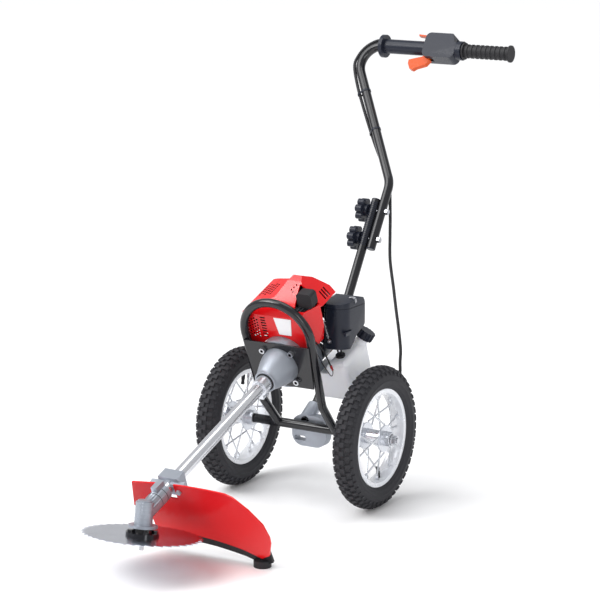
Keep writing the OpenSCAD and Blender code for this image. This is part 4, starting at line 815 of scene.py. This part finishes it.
def mark_broad(bm):
    """Gives the long outer edges between broad faces their bevel weight."""
    weight = bm.edges.layers.float.new("bevel_weight_edge")
    for e in bm.edges:
        if len(e.link_faces) != 2 or e.calc_length() < BROAD_LENGTH_M:
            continue
        thin = min(f.calc_area() / max(x.calc_length() for x in f.edges) for f in e.link_faces)
        if thin > BROAD_FACE_M and math.degrees(e.calc_face_angle_signed()) > BROAD_ANGLE:
            e[weight] = 1.0


def bevel(obj, name, width, segments, method, angle=EDGE_ANGLE):
    """A bevel of a width in millimetres on the edges that the method picks."""
    change = obj.modifiers.new(name, "BEVEL")
    change.width = width / MM_IN_M
    change.segments = segments
    change.limit_method = method
    change.angle_limit = math.radians(angle)
    return change


def one_finish(mesh, material):
    """Gives every face of a mesh the same material."""
    mesh.materials.clear()
    mesh.materials.append(materials[material])
    for p in mesh.polygons:
        p.material_index = 0


def rounded_copy(node, width, broad=0.0, built=None):
    """A CAD node's mesh, or one built for it, with its edges rounded; it stands for the node."""
    mesh = built or nodes[node].data.copy()
    bm = bmesh.new()
    bm.from_mesh(mesh)
    bmesh.ops.remove_doubles(bm, verts=bm.verts, dist=WELD_M)
    bmesh.ops.dissolve_limit(
        bm, angle_limit=math.radians(FLAT_ANGLE), verts=bm.verts, edges=bm.edges,
        use_dissolve_boundaries=False,
    )
    if broad:
        mark_broad(bm)
    bm.to_mesh(mesh)
    bm.free()
    mesh.name = node + "_look"
    obj = added(node + "_look", mesh)
    mesh.shade_smooth()
    mesh.set_sharp_from_angle(angle=math.radians(EDGE_ANGLE))
    if not built:
        one_finish(mesh, slot_of[node])
    if broad:
        bevel(obj, "broad", broad, BROAD_SEGMENTS, "WEIGHT").harden_normals = True
    bevel(obj, "rounded", width, EDGE_SEGMENTS, "ANGLE").harden_normals = True
    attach(obj, body_of[node])
    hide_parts(node)
    return obj


looks = {n: rounded_copy(n, w) for n, w in EDGES.items()}


# Pieces built anew in the photo's outline

# Material slots of the cutting tools: red plastic, and near-black painted shade on the walls they cut
RED = 0
PAINTED_SHADE = 1


def loose(parts, shade=RED):
    """A plain object for cutting; with shade set to the second slot, the faces it cuts get near-black painted
    shade.
    """
    mesh = gathered("tool", parts)
    mesh.materials.append(materials["red_plastic"])
    mesh.materials.append(materials["seam_black_and_painted_shade"])
    for p in mesh.polygons:
        p.material_index = shade
    return added("tool", mesh)


def cut(obj, tool, how):
    """The form of obj after a boolean with tool, as a new object; both old ones go."""
    change = obj.modifiers.new("cut", "BOOLEAN")
    change.solver = "EXACT"
    change.operation = how
    change.object = tool
    made = bpy.data.meshes.new_from_object(obj.evaluated_get(bpy.context.evaluated_depsgraph_get()))
    for gone in (obj, tool):
        bpy.data.objects.remove(gone)
    return added("tool", made)


def mesh_of(obj):
    """The mesh of an object that then goes."""
    mesh = obj.data
    bpy.data.objects.remove(obj)
    return mesh


def cover_form(inset, drop, shade):
    """The covers' solid form: three outlines pushed through one another."""
    wide = COVER[0] - 2 * inset
    deep = COVER[1] - 2 * inset
    high = COVER[2] - inset
    y0 = COVER_FRONT + inset
    z0 = COVER_BASE - drop
    front = prism([(x * wide, z0 + z * high) for x, z in COVER_FROM_FRONT], "y", y0, y0 + deep)
    side = prism([(y0 + y * deep, z0 + z * high) for y, z in COVER_FROM_SIDE], "x", -FAR, FAR)
    top = prism([(x * wide, y0 + y * deep) for x, y in COVER_FROM_TOP], "z", z0 - high, z0 + high + OVERRUN)
    form = cut(loose([front], shade), loose([side], shade), "INTERSECT")
    return cut(form, loose([top], shade), "INTERSECT")


def dots(start, pitch, count, r, axis, span):
    """Round holes in columns, every other column moved by half a pitch."""
    holes = []
    for i in range(count[0]):
        for j in range(count[1]):
            along = start[1] + pitch[1] * j + pitch[1] / 2 * (i % 2)
            holes.append(prism(circle(start[0] + pitch[0] * i, along, r), axis, *span))
    return holes


def cover_vents():
    """Slots, louvres and dots."""
    x, y, z = SLOT
    vents = [block(x, [q + SLOT_PITCH * k for q in y], z) for k in range(SLOT_COUNT)]
    x, y, z = LOUVRE
    vents += [block(x, y, [q + LOUVRE_PITCH * k for q in z]) for k in range(LOUVRE_COUNT)]
    vents += dots(**TOP_DOTS) + dots(**FRONT_DOTS)
    return vents + [prism(circle(x, z, HUMP_DOT_R), "y", *HUMP_SPAN) for x, z in HUMP_DOTS]


def covers():
    """The meshes of the two red covers: the CAD pieces' shells in the photo's outline, with their vents.
    Their insides and the walls of their vents carry near-black painted shade.
    """
    # The inner form cuts the shell's inside, which gets near-black painted shade
    shell = cut(cover_form(0, 0, RED), cover_form(COVER_WALL, OVERRUN, PAINTED_SHADE), "DIFFERENCE")
    fan_case = prism(circle(0, 0, FAN_CASE_R, FAN_CASE_SIDES), "y", *FAN_CASE_Y)
    for opening in (fan_case, block(*BOX_OPENING), block(*CAP_OPENING)):
        shell = cut(shell, loose([opening]), "DIFFERENCE")
    # The vents' walls get near-black painted shade
    shell = cut(shell, loose(cover_vents(), PAINTED_SHADE), "DIFFERENCE")
    halves = []
    for limits in ((COVER_SPLIT_X + COVER_SEAM, BEYOND), (-BEYOND, COVER_SPLIT_X)):
        half = loose([block(limits, (BELOW, BEYOND), (BELOW, BEYOND))])
        halves.append(mesh_of(cut(added("tool", shell.data.copy()), half, "INTERSECT")))
    bpy.data.objects.remove(shell)
    return halves


def name_plate():
    """The bare white plate on the engine cover."""
    (low, high), (narrow, wide) = PLATE_Z, PLATE_HALF_W
    outline = [
        (PLATE_X - narrow, low), (PLATE_X + narrow, low), (PLATE_X + wide, high), (PLATE_X - wide, high),
    ]
    form = prism(outline, "y", COVER_FRONT - PLATE_OUT, COVER_FRONT + PLATE_IN)
    plate = piece("name_plate", [form], "label", "frame")
    bevel(plate, "rounded", PLATE_EDGE, EDGE_SEGMENTS, "ANGLE", PLATE_EDGE_ANGLE)


def box_plan(inset):
    """The air box seen from above, with its four rounded corners."""
    corners = (
        (BOX_IN + BOX_INNER_R, BOX_INNER_R, BOX_INNER_R, 180),
        (BOX_OUT - BOX_FRONT_R, BOX_FRONT_R, BOX_FRONT_R, 270),
        (BOX_OUT - BOX_BACK_R, BOX_BACK - BOX_BACK_R, BOX_BACK_R, 0),
        (BOX_IN + BOX_INNER_R, BOX_BACK - BOX_INNER_R, BOX_INNER_R, 90),
    )
    step = TURN / 4 / CORNER_STEPS
    return [(x + (r - inset) * cosd(a + k * step), y + (r - inset) * sind(a + k * step))
            for x, y, r, a in corners for k in range(CORNER_STEPS + 1)]


def air_box():
    """The air box with the photo's bulge at its back, a groove under its lid and the cable's stay."""
    body = cut(loose([prism(BOX_SIDE, "x", 0, FAR, box_point)]),
               loose([prism(box_plan(0), "z", BELOW, FAR, box_point)]), "INTERSECT")
    bevel(body, "eased", BOX_EASE, BOX_EASE_SEGMENTS, "ANGLE", BOX_EASE_ANGLE)
    around = [(0, BELOW), (FAR, BELOW), (FAR, FAR), (0, FAR)]
    groove = cut(loose([prism(around, "z", LID_Z, LID_Z + LID_GROOVE_H, box_point)]),
                 loose([prism(box_plan(LID_GROOVE), "z", *LID_CORE_Z, box_point)]), "DIFFERENCE")
    body = cut(body, groove, "DIFFERENCE")
    low = BOX_Z - STAY_DROP
    stay = block((STAY_X - STAY_W / 2, STAY_X + STAY_W / 2), (stay_y, stay_y + STAY_L), (low, low + STAY_H))
    ring = circle(STAY_X, stay_z, FERRULE_D / 2 + STAY_BORE_GAP, STAY_BORE_SIDES)
    bore = prism(ring, "y", stay_y - STAY_BORE_BEFORE, stay_y + STAY_BORE_PAST)
    stay = cut(loose([stay]), loose([bore]), "DIFFERENCE")
    mesh = mesh_of(cut(body, stay, "UNION"))
    mesh.materials[0] = materials["black_plastic"]
    return mesh


def throttle_housing():
    """The throttle housing with the photo's slanting shoulder towards the grip."""
    whole = added("tool", nodes["throttle_housing"].data.copy())
    shoulder = prism(HOUSING_SHOULDER, "y", -HOUSING_DEPTH, HOUSING_DEPTH, bar_point)
    mesh = mesh_of(cut(whole, loose([shoulder]), "DIFFERENCE"))
    one_finish(mesh, "black_plastic")
    return mesh


for n, mesh in zip(("engine_cover", "muffler_cover"), covers()):
    looks[n] = rounded_copy(n, COVER_EDGE, COVER_BROAD_EDGE, built=mesh)
name_plate()
looks["air_box"] = rounded_copy("air_box", BOX_EDGE, built=air_box())
looks["throttle_housing"] = rounded_copy("throttle_housing", HOUSING_EDGE, built=throttle_housing())

# CAD pieces that keep their own form
BUILT_ANEW = ("throttle_cable", "stop_wires", "tyre_left", "tyre_right")
for name, obj in nodes.items():
    if name in looks or name in BUILT_ANEW:
        continue
    obj.data.materials.clear()
    obj.data.materials.append(materials[slot_of[name]])


def paint(node, material, wanted):
    """Gives another finish to the faces of a look whose middle, in the engine's directions, is wanted."""
    mesh = looks[node].data
    mesh.materials.append(materials[material])
    last = len(mesh.materials) - 1
    for p in mesh.polygons:
        if wanted(to_engine(p.center)):
            p.material_index = last


def on_grommet(c):
    return c.z > TANK_TOP + GROMMET_LIFT and math.hypot(c.x - GROMMET[0], c.y - GROMMET[1]) < GROMMET_R


# The faces in the bolts' sockets, which get near-black painted shade
def in_socket(c):
    return math.hypot(abs(c.x) - BOLT_AT, abs(c.z) - BOLT_AT) < SOCKET_R and SOCKET_Y[0] < c.y < SOCKET_Y[1]


paint("fuel_tank", "black_rubber", on_grommet)
# The bolts' hex sockets get near-black painted shade
paint("plate_bolts", "seam_black_and_painted_shade", in_socket)


# Wheels

def spoke_nipples(name, side, body):
    """Threaded nipples where the spokes meet the rim."""
    parts = []
    for k in range(SPOKES):
        flange = 1 if k % 2 == 0 else -1
        twist = 1 if k % 4 < 2 else -1
        a1 = k * TURN / SPOKES
        a0 = a1 - twist * SPOKE_TWIST
        hub, rim = (
            wheel_point(side, r * cosd(a), r * sind(a), flange * h)
            for (r, h), a in ((SPOKE_INNER, a0), (SPOKE_OUTER, a1))
        )
        parts.append(lathe(NIPPLE, rim, (hub - rim).normalized(), NIPPLE_SIDES))
    return piece(name, parts, "spoke_wire", body)


def on_tyre(side, around, section, lift):
    """A point on a tyre at an angle round the wheel and one round its section, lifted off the carcass."""
    r = CARCASS_R + (CARCASS_D / 2 + lift) * cosd(section)
    return wheel_point(side, r * cosd(around), r * sind(around), (CARCASS_D / 2 + lift) * sind(section))


def carcass(side):
    """The tyre's smooth body with moulded rings on its sidewalls."""
    profile = []
    for section in range(-CARCASS_SECTION, CARCASS_SECTION + 1, CARCASS_STEP):
        ring = any(low <= abs(section) <= high for low, high in SIDEWALL_RINGS)
        dip = SIDEWALL_DIP[0] <= abs(section) < SIDEWALL_DIP[1]
        profile.append((section, SIDEWALL_RING if ring else -SIDEWALL_DIP_DEPTH if dip else 0.0))
    verts = [on_tyre(side, k * TURN / CARCASS_SIDES, section, lift)
             for k in range(CARCASS_SIDES) for section, lift in profile]
    return verts, net(CARCASS_SIDES, len(profile))


def tread_block(side, around, section, wide, long, high):
    """One block of the tread, narrower towards its top."""
    corners = []
    for lift, share in zip((-TREAD_ROOT, high - TREAD_EASE, high), TREAD_SHARES):
        r = CARCASS_R + (CARCASS_D / 2 + lift) * cosd(section)
        half = math.degrees(long * share / 2 / r)
        lean = math.degrees(wide * share / 2 / (CARCASS_D / 2 + lift))
        corners += [on_tyre(side, around + a * half, section + b * lean, lift)
                    for a, b in ((-1, -1), (1, -1), (1, 1), (-1, 1))]
    return corners, bar_faces(len(TREAD_SHARES), 4)


def valve(side):
    """The valve stem, between two spokes."""
    a = TURN / 2 / SPOKES
    r = RIM_WELL_R - VALVE_LAP
    foot = wheel_point(side, r * cosd(a), r * sind(a), 0)
    return lathe(VALVE, foot, wheel_point(side, 0, 0, 0) - foot, VALVE_SIDES)


def tyre_look(node, side):
    """A tyre with a smooth carcass, a fine knobbly tread and its valve."""
    parts = [carcass(side)]
    for section, shift, wide, long, high in TREAD_ROWS:
        for k in range(TREAD_COUNT):
            around = (k + shift) * TURN / TREAD_COUNT
            parts.append(tread_block(side, around, section, wide, long, high))
    parts.append(valve(side))
    tyre = piece(node + "_look", parts, "tyre_rubber", body_of[node], TYRE_CREASE)
    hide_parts(node)


spoke_nipples("nipples_left", 1, "wheel_left")
spoke_nipples("nipples_right", -1, "wheel_right")
tyre_look("tyre_left", 1)
tyre_look("tyre_right", -1)


# Gear head and handle

def ridge(h, crest, half):
    """Profile of a low ridge about a height h; half holds half its width at the root and at the crest."""
    root, top = half
    return [(RIDGE_ROOT_R, h - root), (crest, h - top), (crest, h + top), (RIDGE_ROOT_R, h + root)]


def head_ridges():
    """Cast rings on the gear head, and dark seams on its neck."""
    head_way = Vector((0, sind(SPINDLE_LEAN), cosd(SPINDLE_LEAN)))
    head = engine_point((0, -REACH, 0))
    rings = [lathe(ridge(h, HEAD_RING_R, HEAD_RING_HALF), head, head_way, RIDGE_SIDES) for h in HEAD_RINGS]
    piece("head_rings", rings, "cast_grey", "frame")
    neck = engine_point((0, -REACH + SEAM_FROM, 0))
    neck_way = engine_way((0, -1, 0))
    seams = [lathe(ridge(h, SEAM_R, SEAM_HALF), neck, neck_way, RIDGE_SIDES) for h in SEAMS]
    # The neck seams are near-black rings, in the finish that paints shade in hollows
    piece("neck_seams", seams, "seam_black_and_painted_shade", "frame")


def handle_ribs():
    """Ribs across the front of the lower tube where the two tubes lap."""
    parts = []
    for k in range(int((LAP_TOP - LAP_BOTTOM - RIB_MARGIN) / RIB_PITCH)):
        z = LAP_BOTTOM + RIB_START + k * RIB_PITCH
        verts = [
            handle_point((-upper_x + r * sind(a), -r * cosd(a), z + h)) for a in RIB_ANGLES for r, h in RIB
        ]
        parts.append((verts, bar_faces(len(RIB_ANGLES), len(RIB))))
    piece("handle_ribs", parts, "black_plastic", "frame")


def tube_plugs():
    """Plastic plugs in the open ends of the two lapped tubes."""
    up = handle_point((0, 0, 1)) - handle_point((0, 0, 0))
    piece("tube_plugs", [
        lathe(TUBE_PLUG, handle_point((-upper_x, 0, LAP_TOP)), up),
        lathe(TUBE_PLUG, handle_point((upper_x, 0, LAP_BOTTOM)), -up),
    ], "black_plastic", "frame")


def band(centre_a, radius_a, centre_b, radius_b, axis):
    """A strap drawn round two round bars that run along axis; radii in millimetres, places in metres."""
    axis = axis.normalized()
    gap = centre_b - centre_a
    gap -= axis * gap.dot(axis)
    d = gap.length * MM_IN_M
    u = gap.normalized()
    v = axis.cross(u)
    turn = math.degrees(math.acos((radius_a - radius_b) / d))
    far, near = TIE_STEPS
    outline = [(0.0, radius_a, turn + k * (TURN - 2 * turn) / far) for k in range(far + 1)]
    outline += [(d, radius_b, -turn + k * 2 * turn / near) for k in range(near + 1)]
    verts = []
    for h, t in ((-TIE_W / 2, 0), (-TIE_W / 2, TIE_T), (TIE_W / 2, TIE_T), (TIE_W / 2, 0)):
        for shift, r, a in outline:
            around = u * (shift + (r + t) * cosd(a)) + v * (r + t) * sind(a)
            verts.append(centre_a + (axis * h + around) / MM_IN_M)
    return verts, net(4, len(outline))


def cable_ties():
    """Straps that hold the cable to the slanting tube."""
    down = handle_point((sind(SLANT), 0, -cosd(SLANT))) - handle_point((0, 0, 0))
    parts = []
    for q in TIE_PLACES:
        bar = handle_point((upper_x - (slant_l - q) * sind(SLANT), 0, SLANT_Z + (slant_l - q) * cosd(SLANT)))
        at_cable = min(
            cable_line,
            key=lambda c: abs((c - bar).dot(down)) + (c - bar).length * down.length * TIE_NEARNESS,
        )
        parts.append(band(bar, HANDLE_D / 2 + TIE_BAR_GAP, at_cable, CABLE_D / 2 + TIE_CABLE_GAP, down))
    piece("cable_ties", parts, "black_plastic", "frame")


head_ridges()
handle_ribs()
tube_plugs()
cable_ties()


# Fittings on the engine

def surface(node):
    """A CAD node's skin, to be met by lines."""
    mesh = nodes[node].data
    points = [v.co.copy() for v in mesh.vertices]
    return BVHTree.FromPolygons(points, [tuple(p.vertices) for p in mesh.polygons])


def meets(skin, place, way):
    """Where a line in the engine's directions first meets a skin, and which way the skin faces there."""
    spot, normal = skin.ray_cast(engine_point(place), engine_way(way))[:2]
    if spot is not None and normal.dot(engine_way(way)) > 0:
        normal = -normal
    return spot, normal


def sheet_strip(points, across, thick):
    """A bent strip of sheet along points in metres; across is its width as a vector, thick in millimetres."""
    verts = []
    n = len(points)
    for i, q in enumerate(points):
        way = (points[min(i + 1, n - 1)] - points[max(i - 1, 0)]).normalized()
        lift = way.cross(across).normalized() * thick / MM_IN_M
        verts += [q - across / 2, q + across / 2, q + across / 2 + lift, q - across / 2 + lift]
    return verts, bar_faces(n, 4)


def lid_clip():
    """The spring clip on the air box's lid, with its rivet."""
    front, ridge_top = BOX_SIDE[1], BOX_SIDE[2]
    top = front[1] + (ridge_top[1] - front[1]) * CLIP_Y / ridge_top[0]
    line = [box_point((x, CLIP_Y, top + lift)) for x, lift in CLIP_LINE]
    x, lift = CLIP_RIVET_AT
    piece("lid_clip", [
        sheet_strip(line, CLIP_ACROSS_M, CLIP_T),
        lathe(CLIP_RIVET, box_point((x, CLIP_Y, top + lift)), CLIP_RIVET_WAY, CLIP_RIVET_SIDES),
    ], "plain_steel", "frame")


def return_spring():
    """The return spring in front of the air box, between two studs, with its eyelet."""
    skin = surface("air_box")
    ends = [meets(skin, (x, 0, z), (0, 1, 0)) for x, z in SPRING_ENDS]
    studs = [lathe(SPRING_STUD, spot, normal, HEX) for spot, normal in ends]
    a, b = (spot + normal * (SPRING_LIFT / MM_IN_M) for spot, normal in ends)
    way = b - a
    u = way.orthogonal().normalized()
    round_coil = fan(u, way.normalized().cross(u), SPRING_STEPS)
    count = SPRING_TURNS * SPRING_STEPS
    coil = [
        a + way * (SPRING_FROM + SPRING_SPAN * k / count)
        + round_coil[k % SPRING_STEPS] * (SPRING_R / MM_IN_M)
        for k in range(count + 1)
    ]
    hook = [a + way * share for share in SPRING_HOOK]
    hook[1] += u * (SPRING_HOOK_OUT / MM_IN_M)
    line = hook[:2] + coil + hook[2:]
    spring = swept(line, lambda s: SPRING_WIRE_R, SPRING_WIRE_SIDES)
    eye = lathe(SPRING_EYE, b, ends[1][1])
    piece("return_spring", [spring, eye] + studs, "plain_steel", "frame", SPRING_CREASE)


def stem_radius(s):
    """A fuel stem's radius at a length along it: a wider foot, then a faint ripple."""
    foot_l, foot_r = STEM_FOOT
    return foot_r if s < foot_l else STEM_R + STEM_RIPPLE * math.sin(s * STEM_RIPPLE_RATE)


def fuel_stems():
    """Two fuel pipes from the tank's grommet up to the air box."""
    skin = surface("air_box")
    parts = []
    for shift in STEM_SHIFTS:
        start = (GROMMET[0] + shift, GROMMET[1], TANK_TOP + STEM_START)
        top, _ = meets(skin, start, (0, 0, 1))
        foot = engine_point(start)
        line = spaced([foot, top + (top - foot).normalized() * STEM_STEP_M], STEM_STEP_M)
        parts.append(swept(line, stem_radius, STEM_SIDES))
    piece("fuel_stems", parts, "black_rubber", "frame", SOFT_CREASE)


def starter_rope():
    """The pull rope, which runs out of the starter's boss with the handle."""
    ends = [engine_point(p) for p in ROPE_ENDS]
    line = spaced([ends[0], ends[1]], ROPE_STEP_M)
    form = swept(line, lambda s: ROPE_R, ROPE_SIDES)
    rope = piece("starter_rope", [form], "black_rubber", None)
    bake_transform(rope)


lid_clip()
return_spring()
fuel_stems()
starter_rope()


# Floor and light, in metres, degrees and watts

FLOOR_HALF = 30.0
SKY_COLOUR = (0.98, 0.985, 1.0, 1)
SKY_STRENGTH = 0.58
SOFTBOX_AIM = Vector((0, 0, 0.4))
SOFTBOXES = (
    ("key", (-2.2, -3.0, 3.2), (1.6, 1.6), 50),
    ("fill", (3.2, -2.4, 1.8), (0.8, 2.4), 30),
    ("top", (0.2, 0.3, 4.0), (2.0, 2.0), 30),
)
SUN_FROM = Vector((-0.5, -0.42, 0.76))
SUN_STRENGTH = 2.1
SUN_ANGLE = 50.0


def pale_floor():
    mesh = bpy.data.meshes.new("floor")
    h = FLOOR_HALF
    mesh.from_pydata([(-h, -h, 0), (h, -h, 0), (h, h, 0), (-h, h, 0)], [], [(0, 1, 2, 3)])
    mesh.materials.append(materials["pale_floor"])
    floor = added("floor", mesh)


def sky():
    world = bpy.data.worlds.new("studio")
    world.use_nodes = True
    background = world.node_tree.nodes["Background"]
    background.inputs["Color"].default_value = SKY_COLOUR
    background.inputs["Strength"].default_value = SKY_STRENGTH
    bpy.context.scene.world = world


def softbox(name, location, size, power):
    data = bpy.data.lights.new(name, "AREA")
    data.shape = "RECTANGLE"
    data.size, data.size_y = size
    data.energy = power
    obj = added(name, data)
    obj.location = location
    obj.rotation_euler = (Vector(location) - SOFTBOX_AIM).to_track_quat("Z", "Y").to_euler()


def daylight():
    data = bpy.data.lights.new("daylight", "SUN")
    data.energy = SUN_STRENGTH
    data.angle = math.radians(SUN_ANGLE)
    sun = added("daylight", data)
    sun.rotation_euler = SUN_FROM.to_track_quat("Z", "Y").to_euler()


pale_floor()
sky()
for light in SOFTBOXES:
    softbox(*light)
daylight()
